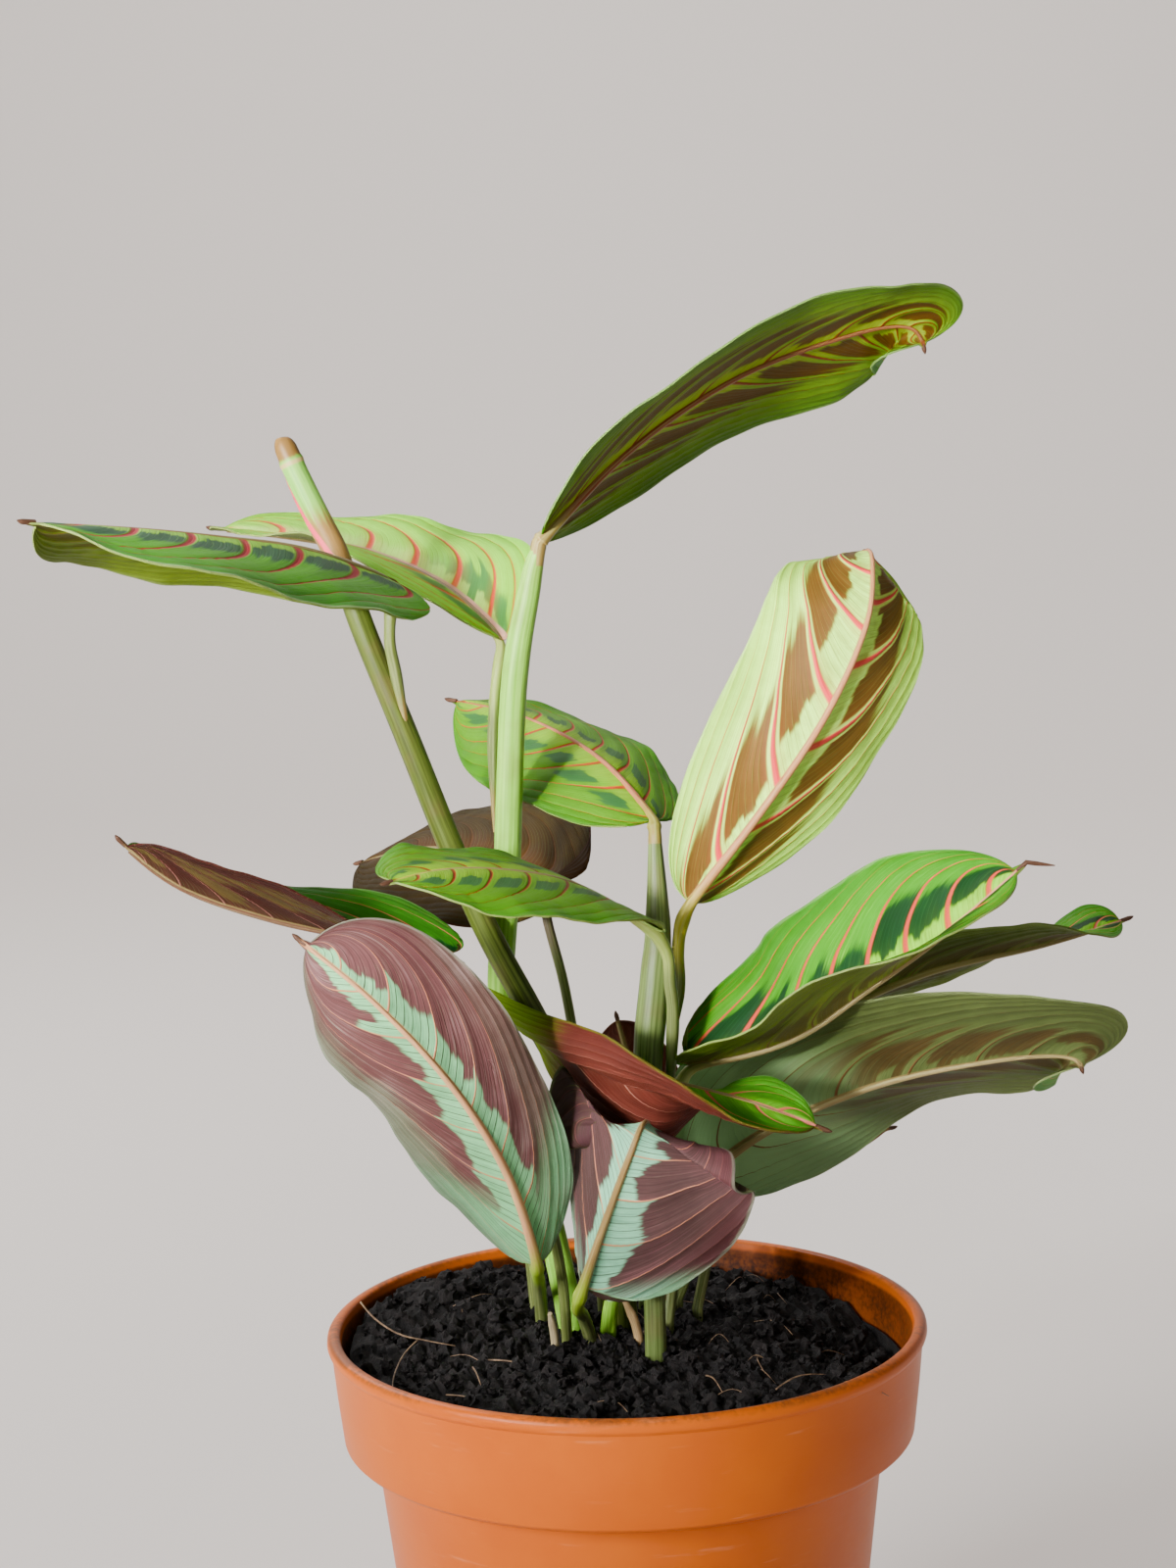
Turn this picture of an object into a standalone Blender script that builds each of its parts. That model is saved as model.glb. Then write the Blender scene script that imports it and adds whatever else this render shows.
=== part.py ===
# Potted prayer plant: a growers' pot, its soil, three stems and sixteen leaves with one more still rolled.
# Metres, +Z up, +X to the right in the picture, +Y away from the camera. The origin is under the pot's middle.
import bmesh
import bpy
import numpy as np
from mathutils import Vector

MM = 0.001

# Pot
RIM_RADIUS = 65.0
POT_HEIGHT = 115.0
COLLAR_HEIGHT = 24.5
COLLAR_FOOT_RADIUS = 62.0
BODY_TOP_RADIUS = 55.4
BASE_RADIUS = 45.0
WALL = 1.6
FLOOR = 2.4
FOOT_DEPTH = 2.0
LIP_HEIGHT = 3.0
LIP_PROUD = 0.9
DRAIN_HOLES = 6
DRAIN_RADIUS = 4.5
DRAIN_CIRCLE = 30.0
POT_STEPS = 40

# Soil
GAP = 0.3
SIDE_GAP = 0.5
SOIL_TOP = 108.6
SOIL_MOUND = 1.6
SOIL_DIP = 8.0
HOLE_FLOOR = 96.7
STEM_FOOT = 97.0

# Leaves
BLADE = 0.7
ROWS = 13
COLUMNS = 8

# Names, millimetres and degrees. rib runs from the base of the blade to its tip. face is where the upper side
# looks. left and right turn each half up from the rib, and curl bends it further on its way to the edge.
# narrow takes that share off the width at the base, lobe draws the base back, and slant slides a half ahead.
LEAVES = [
    dict(
        name="leaf_top",
        rib=[(-13, 0, 285), (7, 9, 303.5), (30, 16, 317.5), (54, 23, 325.5), (67, 26.5, 327), (71, 28, 322)],
        face=[(-0.5, 0.35, 0.8), (-0.3, 0.35, 0.9)],
        width=45,
        left=[-5, -14, -10],
        right=[0, 0, 0],
        lobe=0.12,
        petiole=[(-13.88, -0.05, 282.6), (-13.5, -0.1, 283.9)],
        thick=1.7,
    ),
    dict(
        name="leaf_left_trough",
        rib=[(-44, -5, 277), (-60, -24, 285), (-76, -42, 289), (-92, -58, 292), (-108, -72, 294)],
        face=[(0, 0, 1)],
        width=46,
        left=[-42, -28, -15],
        right=[-85, -33, -35],
        narrow_right=0.55,
        lobe=0.75,
        petiole=[(-44.5, -6.2, 258.5), (-45.3, -6.8, 264), (-45, -6.4, 270)],
        thick=1.3,
    ),
    dict(
        name="leaf_behind_left",
        rib=[(-22, 7, 263), (-35, 22, 274), (-52, 38, 281), (-70, 53, 284), (-91, 68, 286)],
        face=[(0, 0, 1)],
        width=45,
        left=[15, 12, 0],
        right=[45, 13, 18],
        blunt=3,
        petiole=[(-25, 3.9, 240), (-24.6, 3.6, 246), (-24.1, 3.8, 252), (-23.1, 5.2, 258)],
        thick=1.2,
    ),
    dict(
        name="leaf_mid_right",
        rib=[(9, 2, 224), (0, 14, 234), (-10, 27, 240), (-22, 40, 244), (-36, 50, 246)],
        face=[(0, -0.1, 1)],
        width=42,
        left=[-14, -28, -42],
        right=[-25, -14, -8],
        lobe=0.1,
        petiole=[(9, 0.1, 219.5), (9, 0.6, 221.5)],
        thick=1.5,
    ),
    dict(
        name="leaf_mid_left",
        rib=[(4, -14, 206), (-9, -28, 216), (-22, -40, 221), (-34, -50, 223), (-44.5, -59, 222)],
        face=[(0, -0.05, 1)],
        width=42,
        left=[-8, -20, -15],
        right=[10, 5, 0],
        lobe=0.5,
        petiole=[(11.1, -9.6, 175.5), (11.6, -9.4, 185), (11.1, -9.9, 191), (10.7, -10.4, 197), (8.2, -12.6, 202)],
        thick=1.4,
    ),
    dict(
        name="leaf_upright",
        rib=[(16, -4, 207), (31, -7, 226), (45, -8, 246), (54, -6, 264.5), (56.5, 3, 277), (56, 15, 279)],
        face=[(-0.1, 0.95, 0.1), (-0.1, 0.95, 0), (-0.1, 0.95, -0.1), (-0.3, 0.6, -0.6), (-0.2, 0.1, -1), (-0.2, -0.2, -1)],
        width=48,
        left=[35, 40, 40],
        right=[0, 5, 10],
        curl_right=[10, 20, 0],
        narrow=0.16,
        lobe=0.1,
        petiole=[(13.1, -4.2, 189), (13.1, -4.2, 196), (14, -4, 202)],
        thick=1.5,
    ),
    dict(
        name="leaf_back_dark",
        rib=[(-14, 27, 207), (-28, 43, 211), (-44, 56, 211), (-60, 68, 206)],
        face=[(0.1, 0.1, 1)],
        width=48,
        left=[-45, -38, -30],
        right=[50, 30, 20],
        lobe=0.55,
        petiole=[(-5, 16, STEM_FOOT), (-5, 16, 112), (-7, 18, 150), (-11, 21, 182), (-15, 25, 200)],
        thick=1.2,
    ),
    dict(
        name="leaf_far_left",
        rib=[(-36, 2, 196), (-52, -3, 201), (-72, -9, 207), (-90, -14, 215), (-102, -18, 226)],
        face=[(0.2, 0, 1)],
        width=28,
        left=[-20, 35, 45],
        right=[62, 22, 25],
        lobe=0.6,
        petiole=[(-20, 17, STEM_FOOT), (-20, 17, 112), (-23, 13, 145), (-30, 7, 176), (-34, 4, 190)],
        thick=1.3,
    ),
    dict(
        name="leaf_front_left",
        rib=[(-18.5, -20, 134), (-24, -35, 158), (-34, -46, 179), (-48, -51, 197), (-63, -49, 210)],
        face=[(-0.05, 0.93, 0.3)],
        width=42,
        left=[27, 21, 12],
        right=[8, 5, 5],
        curl_left=[10],
        curl_right=[30],
        narrow_left=0.34,
        narrow_right=0.16,
        blunt=3.2,
        lobe=0.22,
        petiole=[(-18.5, 9, STEM_FOOT), (-18.5, 9, 111.5), (-18.6, 2, 120), (-18.6, -7, 126), (-18.7, -15, 130.5)],
        thick=1.5,
    ),
    dict(
        name="leaf_front",
        rib=[(-9, -28, 131), (-4, -35.5, 147), (1.5, -39.5, 162), (4.5, -35, 167), (6.5, -24, 160)],
        face=[(0.15, 0.95, 0.2), (0.1, 0.95, 0), (-0.3, -0.6, -0.75)],
        width=54,
        left=[10, 5, 0],
        right=[67, 44, 25],
        lobe=0.25,
        slant_left=0.05,
        slant_right=0.28,
        petiole=[(-8, -2, STEM_FOOT), (-8, -2, 111.5), (-9.3, -9, 118.5), (-10.3, -18, 123), (-10, -25, 127)],
        thick=1.5,
    ),
    dict(
        name="leaf_small_front",
        rib=[(-28, -10, 191), (-14, -19, 180.5), (1, -24.5, 175), (14, -27, 173), (28, -28, 168.8), (42, -28, 162.7)],
        face=[(0, -0.1, 1)],
        width=34,
        left=[-30, -60, -75, -5, 25],
        right=[-15, -15, -40, -40],
        curl_right=[120, 135, 95, 60],
        petiole=[(-13, -3, STEM_FOOT), (-13, -3, 112), (-15, -6, 135), (-23, -9, 165), (-28.5, -9.5, 184)],
        thick=1.2,
    ),
    dict(
        name="leaf_right",
        rib=[(15, -2, 171.5), (36, -10, 178), (53, -15, 190), (69, -18, 202), (85, -20, 216)],
        face=[(-0.3, -0.1, 0.9)],
        width=50,
        left=[50, 48, 48],
        right=[25, 30, -10],
        lobe=0.25,
        petiole=[(9.7, -8.1, 140), (9.9, -7.2, 150), (10.5, -6, 159), (12.3, -4, 166)],
        thick=1.4,
    ),
    dict(
        name="leaf_right_narrow",
        rib=[(38, 33, 169), (68, 36, 181.5), (97, 38, 187.5), (117, 40, 192.5)],
        face=[(-0.2, 0.5, 0.8), (-0.2, 0.5, 0.8), (-0.3, -0.5, 0.8)],
        width=28,
        blunt=4,
        left=[10],
        right=[10],
        petiole=[(16, 15, STEM_FOOT), (16, 15, 112), (24, 29, 138), (33, 33, 158)],
        thick=1.2,
    ),
    dict(
        name="leaf_right_low",
        rib=[(19, 14, 143), (34, 11, 154), (57, 5, 164.5), (80, 0, 170), (95, -2, 171), (99, -2.5, 168)],
        face=[(-0.1, 0.9, 0.45), (-0.2, 0.6, 0.8), (-0.2, 0.65, 0.75)],
        width=54,
        left=[5],
        right=[50, 15, 5],
        blunt=3.6,
        lobe=0.35,
        petiole=[(9, 6, STEM_FOOT), (9, 6, 112), (12, 12, 128), (16, 20, 137)],
        thick=1.5,
    ),
    dict(
        name="leaf_orange",
        rib=[(28, 36, 134), (45, 46, 140), (64, 53, 142)],
        face=[(0, 0.7, 0.7)],
        width=22,
        left=[5],
        right=[5],
        petiole=[(12, 22, STEM_FOOT), (12, 22, 112), (18, 28, 123), (24, 33.5, 130)],
        thick=1.1,
    ),
    dict(
        name="leaf_back_small",
        rib=[(9, 27, 146), (4, 30, 160), (0, 32, 175)],
        face=[(0.2, 0.9, 0.2)],
        width=20,
        left=[10],
        right=[10],
        petiole=[(4, 18, STEM_FOOT), (4, 18, 112), (6, 22, 130), (9, 26, 141)],
        thick=1.1,
    ),
]

# Stems, in millimetres: the points of the middle and the radius at each.
STEMS = [
    ("stem_left", [(0, 10, STEM_FOOT), (0, 10, 112), (-3, 6.5, 138), (-9, 1, 163), (-18, -2, 183), (-29, -2.5, 206)]
        + [(-43, -4, 245), (-51, -3.5, 267), (-54, -2.5, 277)], [2.7, 2.7, 2.7, 2.7, 2.7, 2.7, 2.6, 2.6, 2.5]),
    ("stem_tall", [(-12, 5, STEM_FOOT), (-12, 5, 112), (-16, 6, 135), (-22, 6, 160), (-25, 5, 185), (-23, 4, 211)]
        + [(-20, 2, 253), (-16, 1, 274), (-14, 0, 282)], [2.9, 2.9, 2.9, 2.9, 2.9, 2.9, 2.8, 2.3, 1.8]),
    ("stem_right", [(6, -12, STEM_FOOT), (6, -12, 112), (6, -10, 145), (6, -8, 172), (8, -6, 191), (9, -4, 201)]
        + [(9, 0, 219)], [2.3, 2.3, 2.9, 3.3, 3.1, 2.7, 1.9]),
    ("leaf_rolled", [(-54.2, -2.4, 277.7), (-56.6, -1.8, 284), (-60, -1.3, 291), (-63.6, -0.8, 299)]
        + [(-66, -0.3, 305), (-66.6, 0, 307)], [2.5, 2.7, 2.7, 2.6, 2.4, 1.4]),
    ("shoot_green", [(-4, 2, STEM_FOOT), (-4, 2, 112), (-3.2, 1, 118), (-2, -1, 125)], [1.75, 1.75, 1.5, 0.7]),
    ("sheath_dry", [(2.5, -3, STEM_FOOT), (2.5, -3, 111.5), (1.6, -3.3, 115.5), (-0.4, -3, 120)], [1.0, 1.0, 1.0, 0.5]),
    ("sheath_papery", [(-15.5, -8, STEM_FOOT), (-15.5, -8, 111.5), (-15.8, -9, 116), (-16.4, -11, 120)],
        [0.9, 0.9, 0.9, 0.5]),
]


def clear():
    for old in list(bpy.data.objects):
        bpy.data.objects.remove(old, do_unlink=True)


def material(name, colour):
    made = bpy.data.materials.new(name)
    made.use_nodes = True
    made.node_tree.nodes["Principled BSDF"].inputs["Base Color"].default_value = (*colour, 1)
    made.node_tree.nodes["Principled BSDF"].inputs["Roughness"].default_value = 0.5
    return made


def unit(rows):
    return rows / np.linalg.norm(rows, axis=-1, keepdims=True)


def spline(points, t):
    """Points along a Catmull-Rom curve through the given ones, for t from 0 to 1."""
    p = np.array(points, float)
    first = 2 * p[0] - p[1] + 0.5 * (p[0] - 2 * p[1] + p[2 if len(p) > 2 else 1])
    last = 2 * p[-1] - p[-2] + 0.5 * (p[-1] - 2 * p[-2] + p[-3 if len(p) > 2 else -2])
    q = np.vstack([first, p, last])
    s = np.clip(t, -0.02, 1.02) * (len(p) - 1)
    i = np.clip(np.floor(s).astype(int), 0, len(p) - 2)
    u = (s - i)[:, None]
    a, b, c, d = q[i], q[i + 1], q[i + 2], q[i + 3]
    return 0.5 * (2 * b + (c - a) * u + (2 * a - 5 * b + 4 * c - d) * u**2 + (3 * b - a - 3 * c + d) * u**3)


def along(values, t):
    """A number that changes from base to tip."""
    v = np.array(values, float)
    if len(v) == 1:
        return np.full_like(t, v[0])
    if len(v) == 2:
        return v[0] + (v[1] - v[0]) * t * t * (3 - 2 * t)
    return spline(v[:, None], t)[:, 0]


def frame_of(leaf, t):
    """The rib's points, its direction, the upper side's direction and the way across, at each t."""
    middle = spline(leaf["rib"], t)
    ahead = unit(spline(leaf["rib"], t + 5e-3) - spline(leaf["rib"], t - 5e-3))
    face = np.stack([along([f[k] for f in leaf["face"]], t) for k in range(3)], -1)
    upper = unit(face - (face * ahead).sum(-1, keepdims=True) * ahead)
    return middle, ahead, upper, np.cross(ahead, upper)


def stalk_path(points, count):
    """A smooth path through the points. One that stands in the soil is straight up to its second point."""
    if points[0][2] != STEM_FOOT:
        return spline(points, np.linspace(0, 1, count))
    return np.vstack([points[0], spline(points[1:], np.linspace(0, 1, count - 1))])


def half_width(t, blunt):
    """An oblong blade with a rounded base and a blunt end with a small point, as a share of half its width."""
    s = np.clip(t / 0.965, 0, 1) ** 0.93
    body = np.clip(1 - np.abs(2 * s - 1) ** blunt, 0, None) ** 0.58
    point = 0.11 * np.clip((1 - t) / 0.1, 0, 1) ** 0.8
    return np.maximum(body, np.where(t > 0.5, point, 0))


def blade_point(leaf, t, v):
    """Points of the blade's middle surface for t along it and v from -1 at the left edge to 1 at the right."""
    middle, ahead, upper, across = frame_of(leaf, t)
    side = "left" if v < 0 else "right"
    half = leaf["width"] / 2
    narrow = leaf.get("narrow_" + side, leaf.get("narrow", 0))
    w = half * half_width(t, leaf.get("blunt", 2.5)) * (1 - narrow * (1 - t))
    fold = np.radians(along(leaf[side], t))
    curl = np.radians(along(leaf.get("curl_" + side, [0]), t))
    steps = (np.arange(12) + 0.5) / 12 * abs(v)
    angle = fold[:, None] + curl[:, None] * steps[None, :]
    out = np.cos(angle).mean(1) * abs(v) * w * np.sign(v)
    up = np.sin(angle).mean(1) * abs(v) * w
    edge = fold + curl * abs(v)
    wave = 0.02 * leaf["width"] * np.sin(2 * np.pi * (2.6 * t + leaf["phase"]) + (0 if v > 0 else 1.9))
    wave = wave * abs(v) ** 3 * np.minimum(1, w / (0.4 * half))
    back = leaf.get("lobe", 0) * np.sin(0.85 * np.pi * abs(v)) * half * (1 - t) ** 5 * (1 - (1 - t) ** 40)
    slide = leaf.get("slant_" + side, 0) * v * w - back
    return (
        middle
        + across * (out - np.sign(v) * wave * np.sin(edge))[:, None]
        + upper * (up + wave * np.cos(edge))[:, None]
        + ahead * slide[:, None]
    )


def made(name, mesh, paint):
    mesh.materials.clear()
    mesh.materials.append(paint)
    node = bpy.data.objects.new(name, mesh)
    PART.objects.link(node)
    return node


def modified(node, adjust):
    """The node's mesh with its modifiers applied. adjust adds them."""
    adjust(node)
    graph = bpy.context.evaluated_depsgraph_get()
    mesh = bpy.data.meshes.new_from_object(node.evaluated_get(graph))
    node.modifiers.clear()
    node.data = mesh


def tube_mesh(name, points, radii, sides=6):
    """A tapered round bar along points in mm, from a bevelled curve with filled ends."""
    curve = bpy.data.curves.new(name, "CURVE")
    curve.dimensions = "3D"
    curve.bevel_depth = MM
    curve.bevel_resolution = (sides - 4) // 2
    curve.use_fill_caps = True
    line = curve.splines.new("POLY")
    line.points.add(len(points) - 1)
    for place, point, radius in zip(line.points, points, radii):
        place.co = (*(Vector(point) * MM), 1)
        place.radius = radius
    bar = bpy.data.objects.new(name, curve)
    bpy.context.scene.collection.objects.link(bar)
    bpy.context.view_layer.update()
    graph = bpy.context.evaluated_depsgraph_get()
    mesh = bpy.data.meshes.new_from_object(bar.evaluated_get(graph))
    bpy.data.objects.remove(bar, do_unlink=True)
    body = bmesh.new()
    body.from_mesh(mesh)
    bmesh.ops.remove_doubles(body, verts=body.verts, dist=1e-6)
    bmesh.ops.triangulate(body, faces=body.faces)
    bmesh.ops.recalc_face_normals(body, faces=body.faces)
    body.to_mesh(mesh)
    body.free()
    return mesh


def blade_mesh(leaf, rows, columns):
    """The blade as one sheet: a grid whose points are moved onto the leaf, with its two end rows closed."""
    steps = (1 - np.cos(np.pi * np.arange(rows + 1) / rows)) / 2
    places = np.stack([blade_point(leaf, steps, v) for v in np.linspace(-1, 1, columns + 1)], 1)
    body = bmesh.new()
    bmesh.ops.create_grid(body, x_segments=columns, y_segments=rows, size=1)
    for vert in body.verts:
        i = round((vert.co.y + 1) / 2 * rows)
        j = round((vert.co.x + 1) / 2 * columns)
        vert.co = Vector(places[i, j]) * MM
    bmesh.ops.remove_doubles(body, verts=body.verts, dist=1e-6)
    bmesh.ops.triangulate(body, faces=body.faces, quad_method="ALTERNATE")
    mesh = bpy.data.meshes.new(leaf["name"])
    body.to_mesh(mesh)
    body.free()
    return mesh


def union_with(node, mesh):
    other = bpy.data.objects.new("other", mesh)
    bpy.context.scene.collection.objects.link(other)

    def adjust(target):
        join = target.modifiers.new("join", "BOOLEAN")
        join.operation = "UNION"
        join.solver = "MANIFOLD"
        join.object = other

    modified(node, adjust)
    bpy.data.objects.remove(other, do_unlink=True)


def add_leaf(leaf, number):
    leaf["phase"] = 0.37 * number
    small = leaf["width"] < 25
    blade = made(leaf["name"], blade_mesh(leaf, 10 if small else ROWS, 6 if small else COLUMNS), GREEN)

    def thicken(target):
        solid = target.modifiers.new("thick", "SOLIDIFY")
        solid.thickness = BLADE * MM
        solid.offset = 0

    modified(blade, thicken)
    # Rib and petiole
    t = np.linspace(0, 0.93, 9)
    middle, _, upper, _ = frame_of(leaf, t)
    ribs = middle - upper * 0.35
    thin = np.interp(t, [0, 0.15, 1], [leaf["thick"] * 0.8, 0.9, 0.42])
    stalk = leaf["petiole"] + [tuple(p) for p in ribs[:1]]
    path = stalk_path(stalk, len(stalk) + 2)
    count = len(path)
    thickness = np.linspace(leaf["thick"], leaf["thick"] * 0.85, count)
    points = [tuple(p) for p in path[:-1]] + [tuple(p) for p in ribs]
    radii = list(thickness[:-1]) + list(thin)
    union_with(blade, tube_mesh("bar", points, radii))
    return blade


def add_pot():
    """The pot is one profile turned about Z, with drain holes through its recessed ring."""
    taper = (BODY_TOP_RADIUS - BASE_RADIUS) / (POT_HEIGHT - COLLAR_HEIGHT)
    step = POT_HEIGHT - COLLAR_HEIGHT
    rim_in = RIM_RADIUS - LIP_PROUD - WALL - 0.4
    profile = [
        (0, 0),
        (17, 0),
        (18.5, FOOT_DEPTH),
        (BASE_RADIUS - 5, FOOT_DEPTH),
        (BASE_RADIUS - 4, 0),
        (BASE_RADIUS - 0.8, 0),
        (BASE_RADIUS, 1),
        (BODY_TOP_RADIUS, step),
        (COLLAR_FOOT_RADIUS - 1, step),
        (COLLAR_FOOT_RADIUS, step + 1),
        (RIM_RADIUS - LIP_PROUD, POT_HEIGHT - LIP_HEIGHT),
        (RIM_RADIUS, POT_HEIGHT - LIP_HEIGHT + 0.8),
        (RIM_RADIUS, POT_HEIGHT - 0.8),
        (RIM_RADIUS - 0.8, POT_HEIGHT),
        (rim_in, POT_HEIGHT),
        (rim_in - 0.5, POT_HEIGHT - 0.8),
        (COLLAR_FOOT_RADIUS - WALL, step + 3),
        (BODY_TOP_RADIUS - WALL, step + 1.5),
        (BASE_RADIUS - WALL + taper * FLOOR, FOOT_DEPTH + FLOOR),
        (0, FOOT_DEPTH + FLOOR),
    ]
    body = bmesh.new()
    verts = [body.verts.new((r * MM, 0, z * MM)) for r, z in profile]
    for a, b in zip(verts[:-1], verts[1:]):
        body.edges.new((a, b))
    mesh = bpy.data.meshes.new("pot")
    body.to_mesh(mesh)
    body.free()
    pot = made("pot", mesh, TERRACOTTA)

    def turn(target):
        screw = target.modifiers.new("turn", "SCREW")
        screw.axis = "Z"
        screw.steps = POT_STEPS
        screw.render_steps = POT_STEPS
        screw.use_merge_vertices = True
        screw.merge_threshold = 0.0001
        screw.use_normal_calculate = True

    modified(pot, turn)
    for number in range(DRAIN_HOLES):
        angle = 2 * np.pi * number / DRAIN_HOLES
        bpy.ops.mesh.primitive_cylinder_add(
            vertices=10,
            radius=DRAIN_RADIUS * MM,
            depth=12 * MM,
            location=(DRAIN_CIRCLE * MM * np.cos(angle), DRAIN_CIRCLE * MM * np.sin(angle), 3 * MM),
        )
        cut_with(pot, bpy.context.object)
    return pot


def cut_with(node, cutter):
    def adjust(target):
        cut = target.modifiers.new("cut", "BOOLEAN")
        cut.operation = "DIFFERENCE"
        cut.solver = "EXACT"
        cut.object = cutter

    modified(node, adjust)
    bpy.data.objects.remove(cutter, do_unlink=True)


def soil_height(x, y):
    """The mounded top of the soil, lower beside the right wall, in mm."""
    r = np.hypot(x, y)
    dip = SOIL_DIP * np.exp(-((x - 58) ** 2 + (y - 10) ** 2) / (2 * 15.0**2))
    lumps = 0.7 * np.sin(0.31 * x + 0.9) * np.cos(0.27 * y) + 0.5 * np.sin(0.53 * x - 0.41 * y)
    return SOIL_TOP + SOIL_MOUND * (1 - (r / 60) ** 2) - dip + lumps * np.clip(r / 25, 0, 1)


def add_soil():
    """The soil fills the pot, and has a plain hole for each stem and petiole that stands in it."""
    step = POT_HEIGHT - COLLAR_HEIGHT
    taper = (BODY_TOP_RADIUS - BASE_RADIUS) / step
    floor = FOOT_DEPTH + FLOOR + GAP
    wide = COLLAR_FOOT_RADIUS - WALL - SIDE_GAP
    top = 108.0
    profile = [(0, floor), (BASE_RADIUS - WALL - SIDE_GAP + taper * 2, floor), (BODY_TOP_RADIUS - WALL - SIDE_GAP, step + 2)]
    profile += [(wide - 0.4, step + 4), (wide + 0.2, top)]
    profile += [(r, top) for r in (53, 44, 35, 26, 17, 8, 0)]
    body = bmesh.new()
    verts = [body.verts.new((r * MM, 0, z * MM)) for r, z in profile]
    for a, b in zip(verts[:-1], verts[1:]):
        body.edges.new((a, b))
    mesh = bpy.data.meshes.new("soil")
    body.to_mesh(mesh)
    body.free()
    soil = made("soil", mesh, BLACK)

    def turn(target):
        screw = target.modifiers.new("turn", "SCREW")
        screw.axis = "Z"
        screw.steps = 28
        screw.render_steps = 28
        screw.use_merge_vertices = True
        screw.merge_threshold = 0.0001
        screw.use_normal_calculate = True

    modified(soil, turn)
    for vert in soil.data.vertices:
        if vert.co.z > 0.107:
            vert.co.z = soil_height(vert.co.x / MM, vert.co.y / MM) * MM
    feet = [(leaf["petiole"][0], leaf["thick"]) for leaf in LEAVES]
    feet += [(points[0], radii[0]) for _, points, radii in STEMS]
    for foot, radius in feet:
        if foot[2] != STEM_FOOT:
            continue
        bpy.ops.mesh.primitive_cylinder_add(
            vertices=10,
            radius=(radius + GAP) / np.cos(np.pi / 10) * MM,
            depth=30 * MM,
            location=(foot[0] * MM, foot[1] * MM, (HOLE_FLOOR + 15) * MM),
        )
        cut_with(soil, bpy.context.object)
    return soil


clear()
PART = bpy.data.collections.new("potted_prayer_plant")
bpy.context.scene.collection.children.link(PART)
TERRACOTTA = material("terracotta_plastic", (0.62, 0.2, 0.05))
BLACK = material("potting_soil", (0.02, 0.016, 0.013))
GREEN = material("leaf_green", (0.2, 0.42, 0.08))
STEM = material("stem_green", (0.3, 0.4, 0.14))

add_pot()
add_soil()
for number, leaf in enumerate(LEAVES):
    add_leaf(leaf, number)
for name, points, radii in STEMS:
    smooth = stalk_path(points, 2 * len(points) - 1)
    along_path = np.linspace(0, 1, len(smooth))
    thickness = np.interp(along_path, np.linspace(0, 1, len(radii)), radii)
    made(name, tube_mesh(name, [tuple(p) for p in smooth], thickness, 8), STEM)
for node in PART.objects:
    paint = node.data.materials[0].copy()
    paint.name = node.name
    node.data.materials[0] = paint
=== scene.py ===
import math
from types import SimpleNamespace

import bpy
import numpy as np
from mathutils import Matrix, Vector


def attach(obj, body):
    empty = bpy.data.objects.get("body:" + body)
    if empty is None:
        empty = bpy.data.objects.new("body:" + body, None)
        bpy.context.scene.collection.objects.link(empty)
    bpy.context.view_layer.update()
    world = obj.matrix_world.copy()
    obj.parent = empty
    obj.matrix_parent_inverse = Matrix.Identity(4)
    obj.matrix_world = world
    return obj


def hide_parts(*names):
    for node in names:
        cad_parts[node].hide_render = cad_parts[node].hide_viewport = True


MM = 0.001
DEEP = 97  # the height, inside the soil, at which stems and petioles begin
BLADE = 0.42  # a blade's thickness
RIB_STEPS = 34  # rows along a midrib
SAP_IOR = 1.42
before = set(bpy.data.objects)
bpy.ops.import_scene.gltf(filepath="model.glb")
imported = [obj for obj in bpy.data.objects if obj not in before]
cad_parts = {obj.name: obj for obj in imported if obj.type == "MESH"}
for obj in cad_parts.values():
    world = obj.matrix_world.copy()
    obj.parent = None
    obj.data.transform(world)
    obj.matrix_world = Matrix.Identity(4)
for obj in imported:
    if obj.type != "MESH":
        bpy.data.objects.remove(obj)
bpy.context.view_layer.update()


# ---- colours and shader maths


def tint(code):
    """A colour written as a web code, as linear light."""
    parts = [int(code[i : i + 2], 16) / 255 for i in (0, 2, 4)]
    return tuple(c / 12.92 if c <= 0.04045 else ((c + 0.055) / 1.055) ** 2.4 for c in parts) + (1.0,)


class Flow:
    """A socket in a material. Sums written with it add Math nodes."""

    def __init__(self, paint, socket):
        self.paint = paint
        self.socket = socket

    def math(self, operation, other=None, flip=False):
        values = {0: self} if other is None else {0: other, 1: self} if flip else {0: self, 1: other}
        return self.paint.node("ShaderNodeMath", {"operation": operation}, values)

    def __add__(self, other):
        return self.math("ADD", other)

    def __sub__(self, other):
        return self.math("SUBTRACT", other)

    def __rsub__(self, other):
        return self.math("SUBTRACT", other, True)

    def __mul__(self, other):
        return self.math("MULTIPLY", other)

    __radd__ = __add__
    __rmul__ = __mul__

    def __abs__(self):
        return self.math("ABSOLUTE")

    def fraction(self):
        return self.math("FRACT")

    def turned(self, other):
        """The angle of the point (other, self), as turns from -0.5 to 0.5."""
        return self.math("ARCTAN2", other) * (1 / (2 * math.pi))

    def rise(self, low, high):
        """0 below low, 1 above high and smooth between them; falls instead where high is the lower."""
        values = {"Value": self, "From Min": low, "From Max": high}
        return self.paint.node("ShaderNodeMapRange", {"interpolation_type": "SMOOTHSTEP"}, values)


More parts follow.
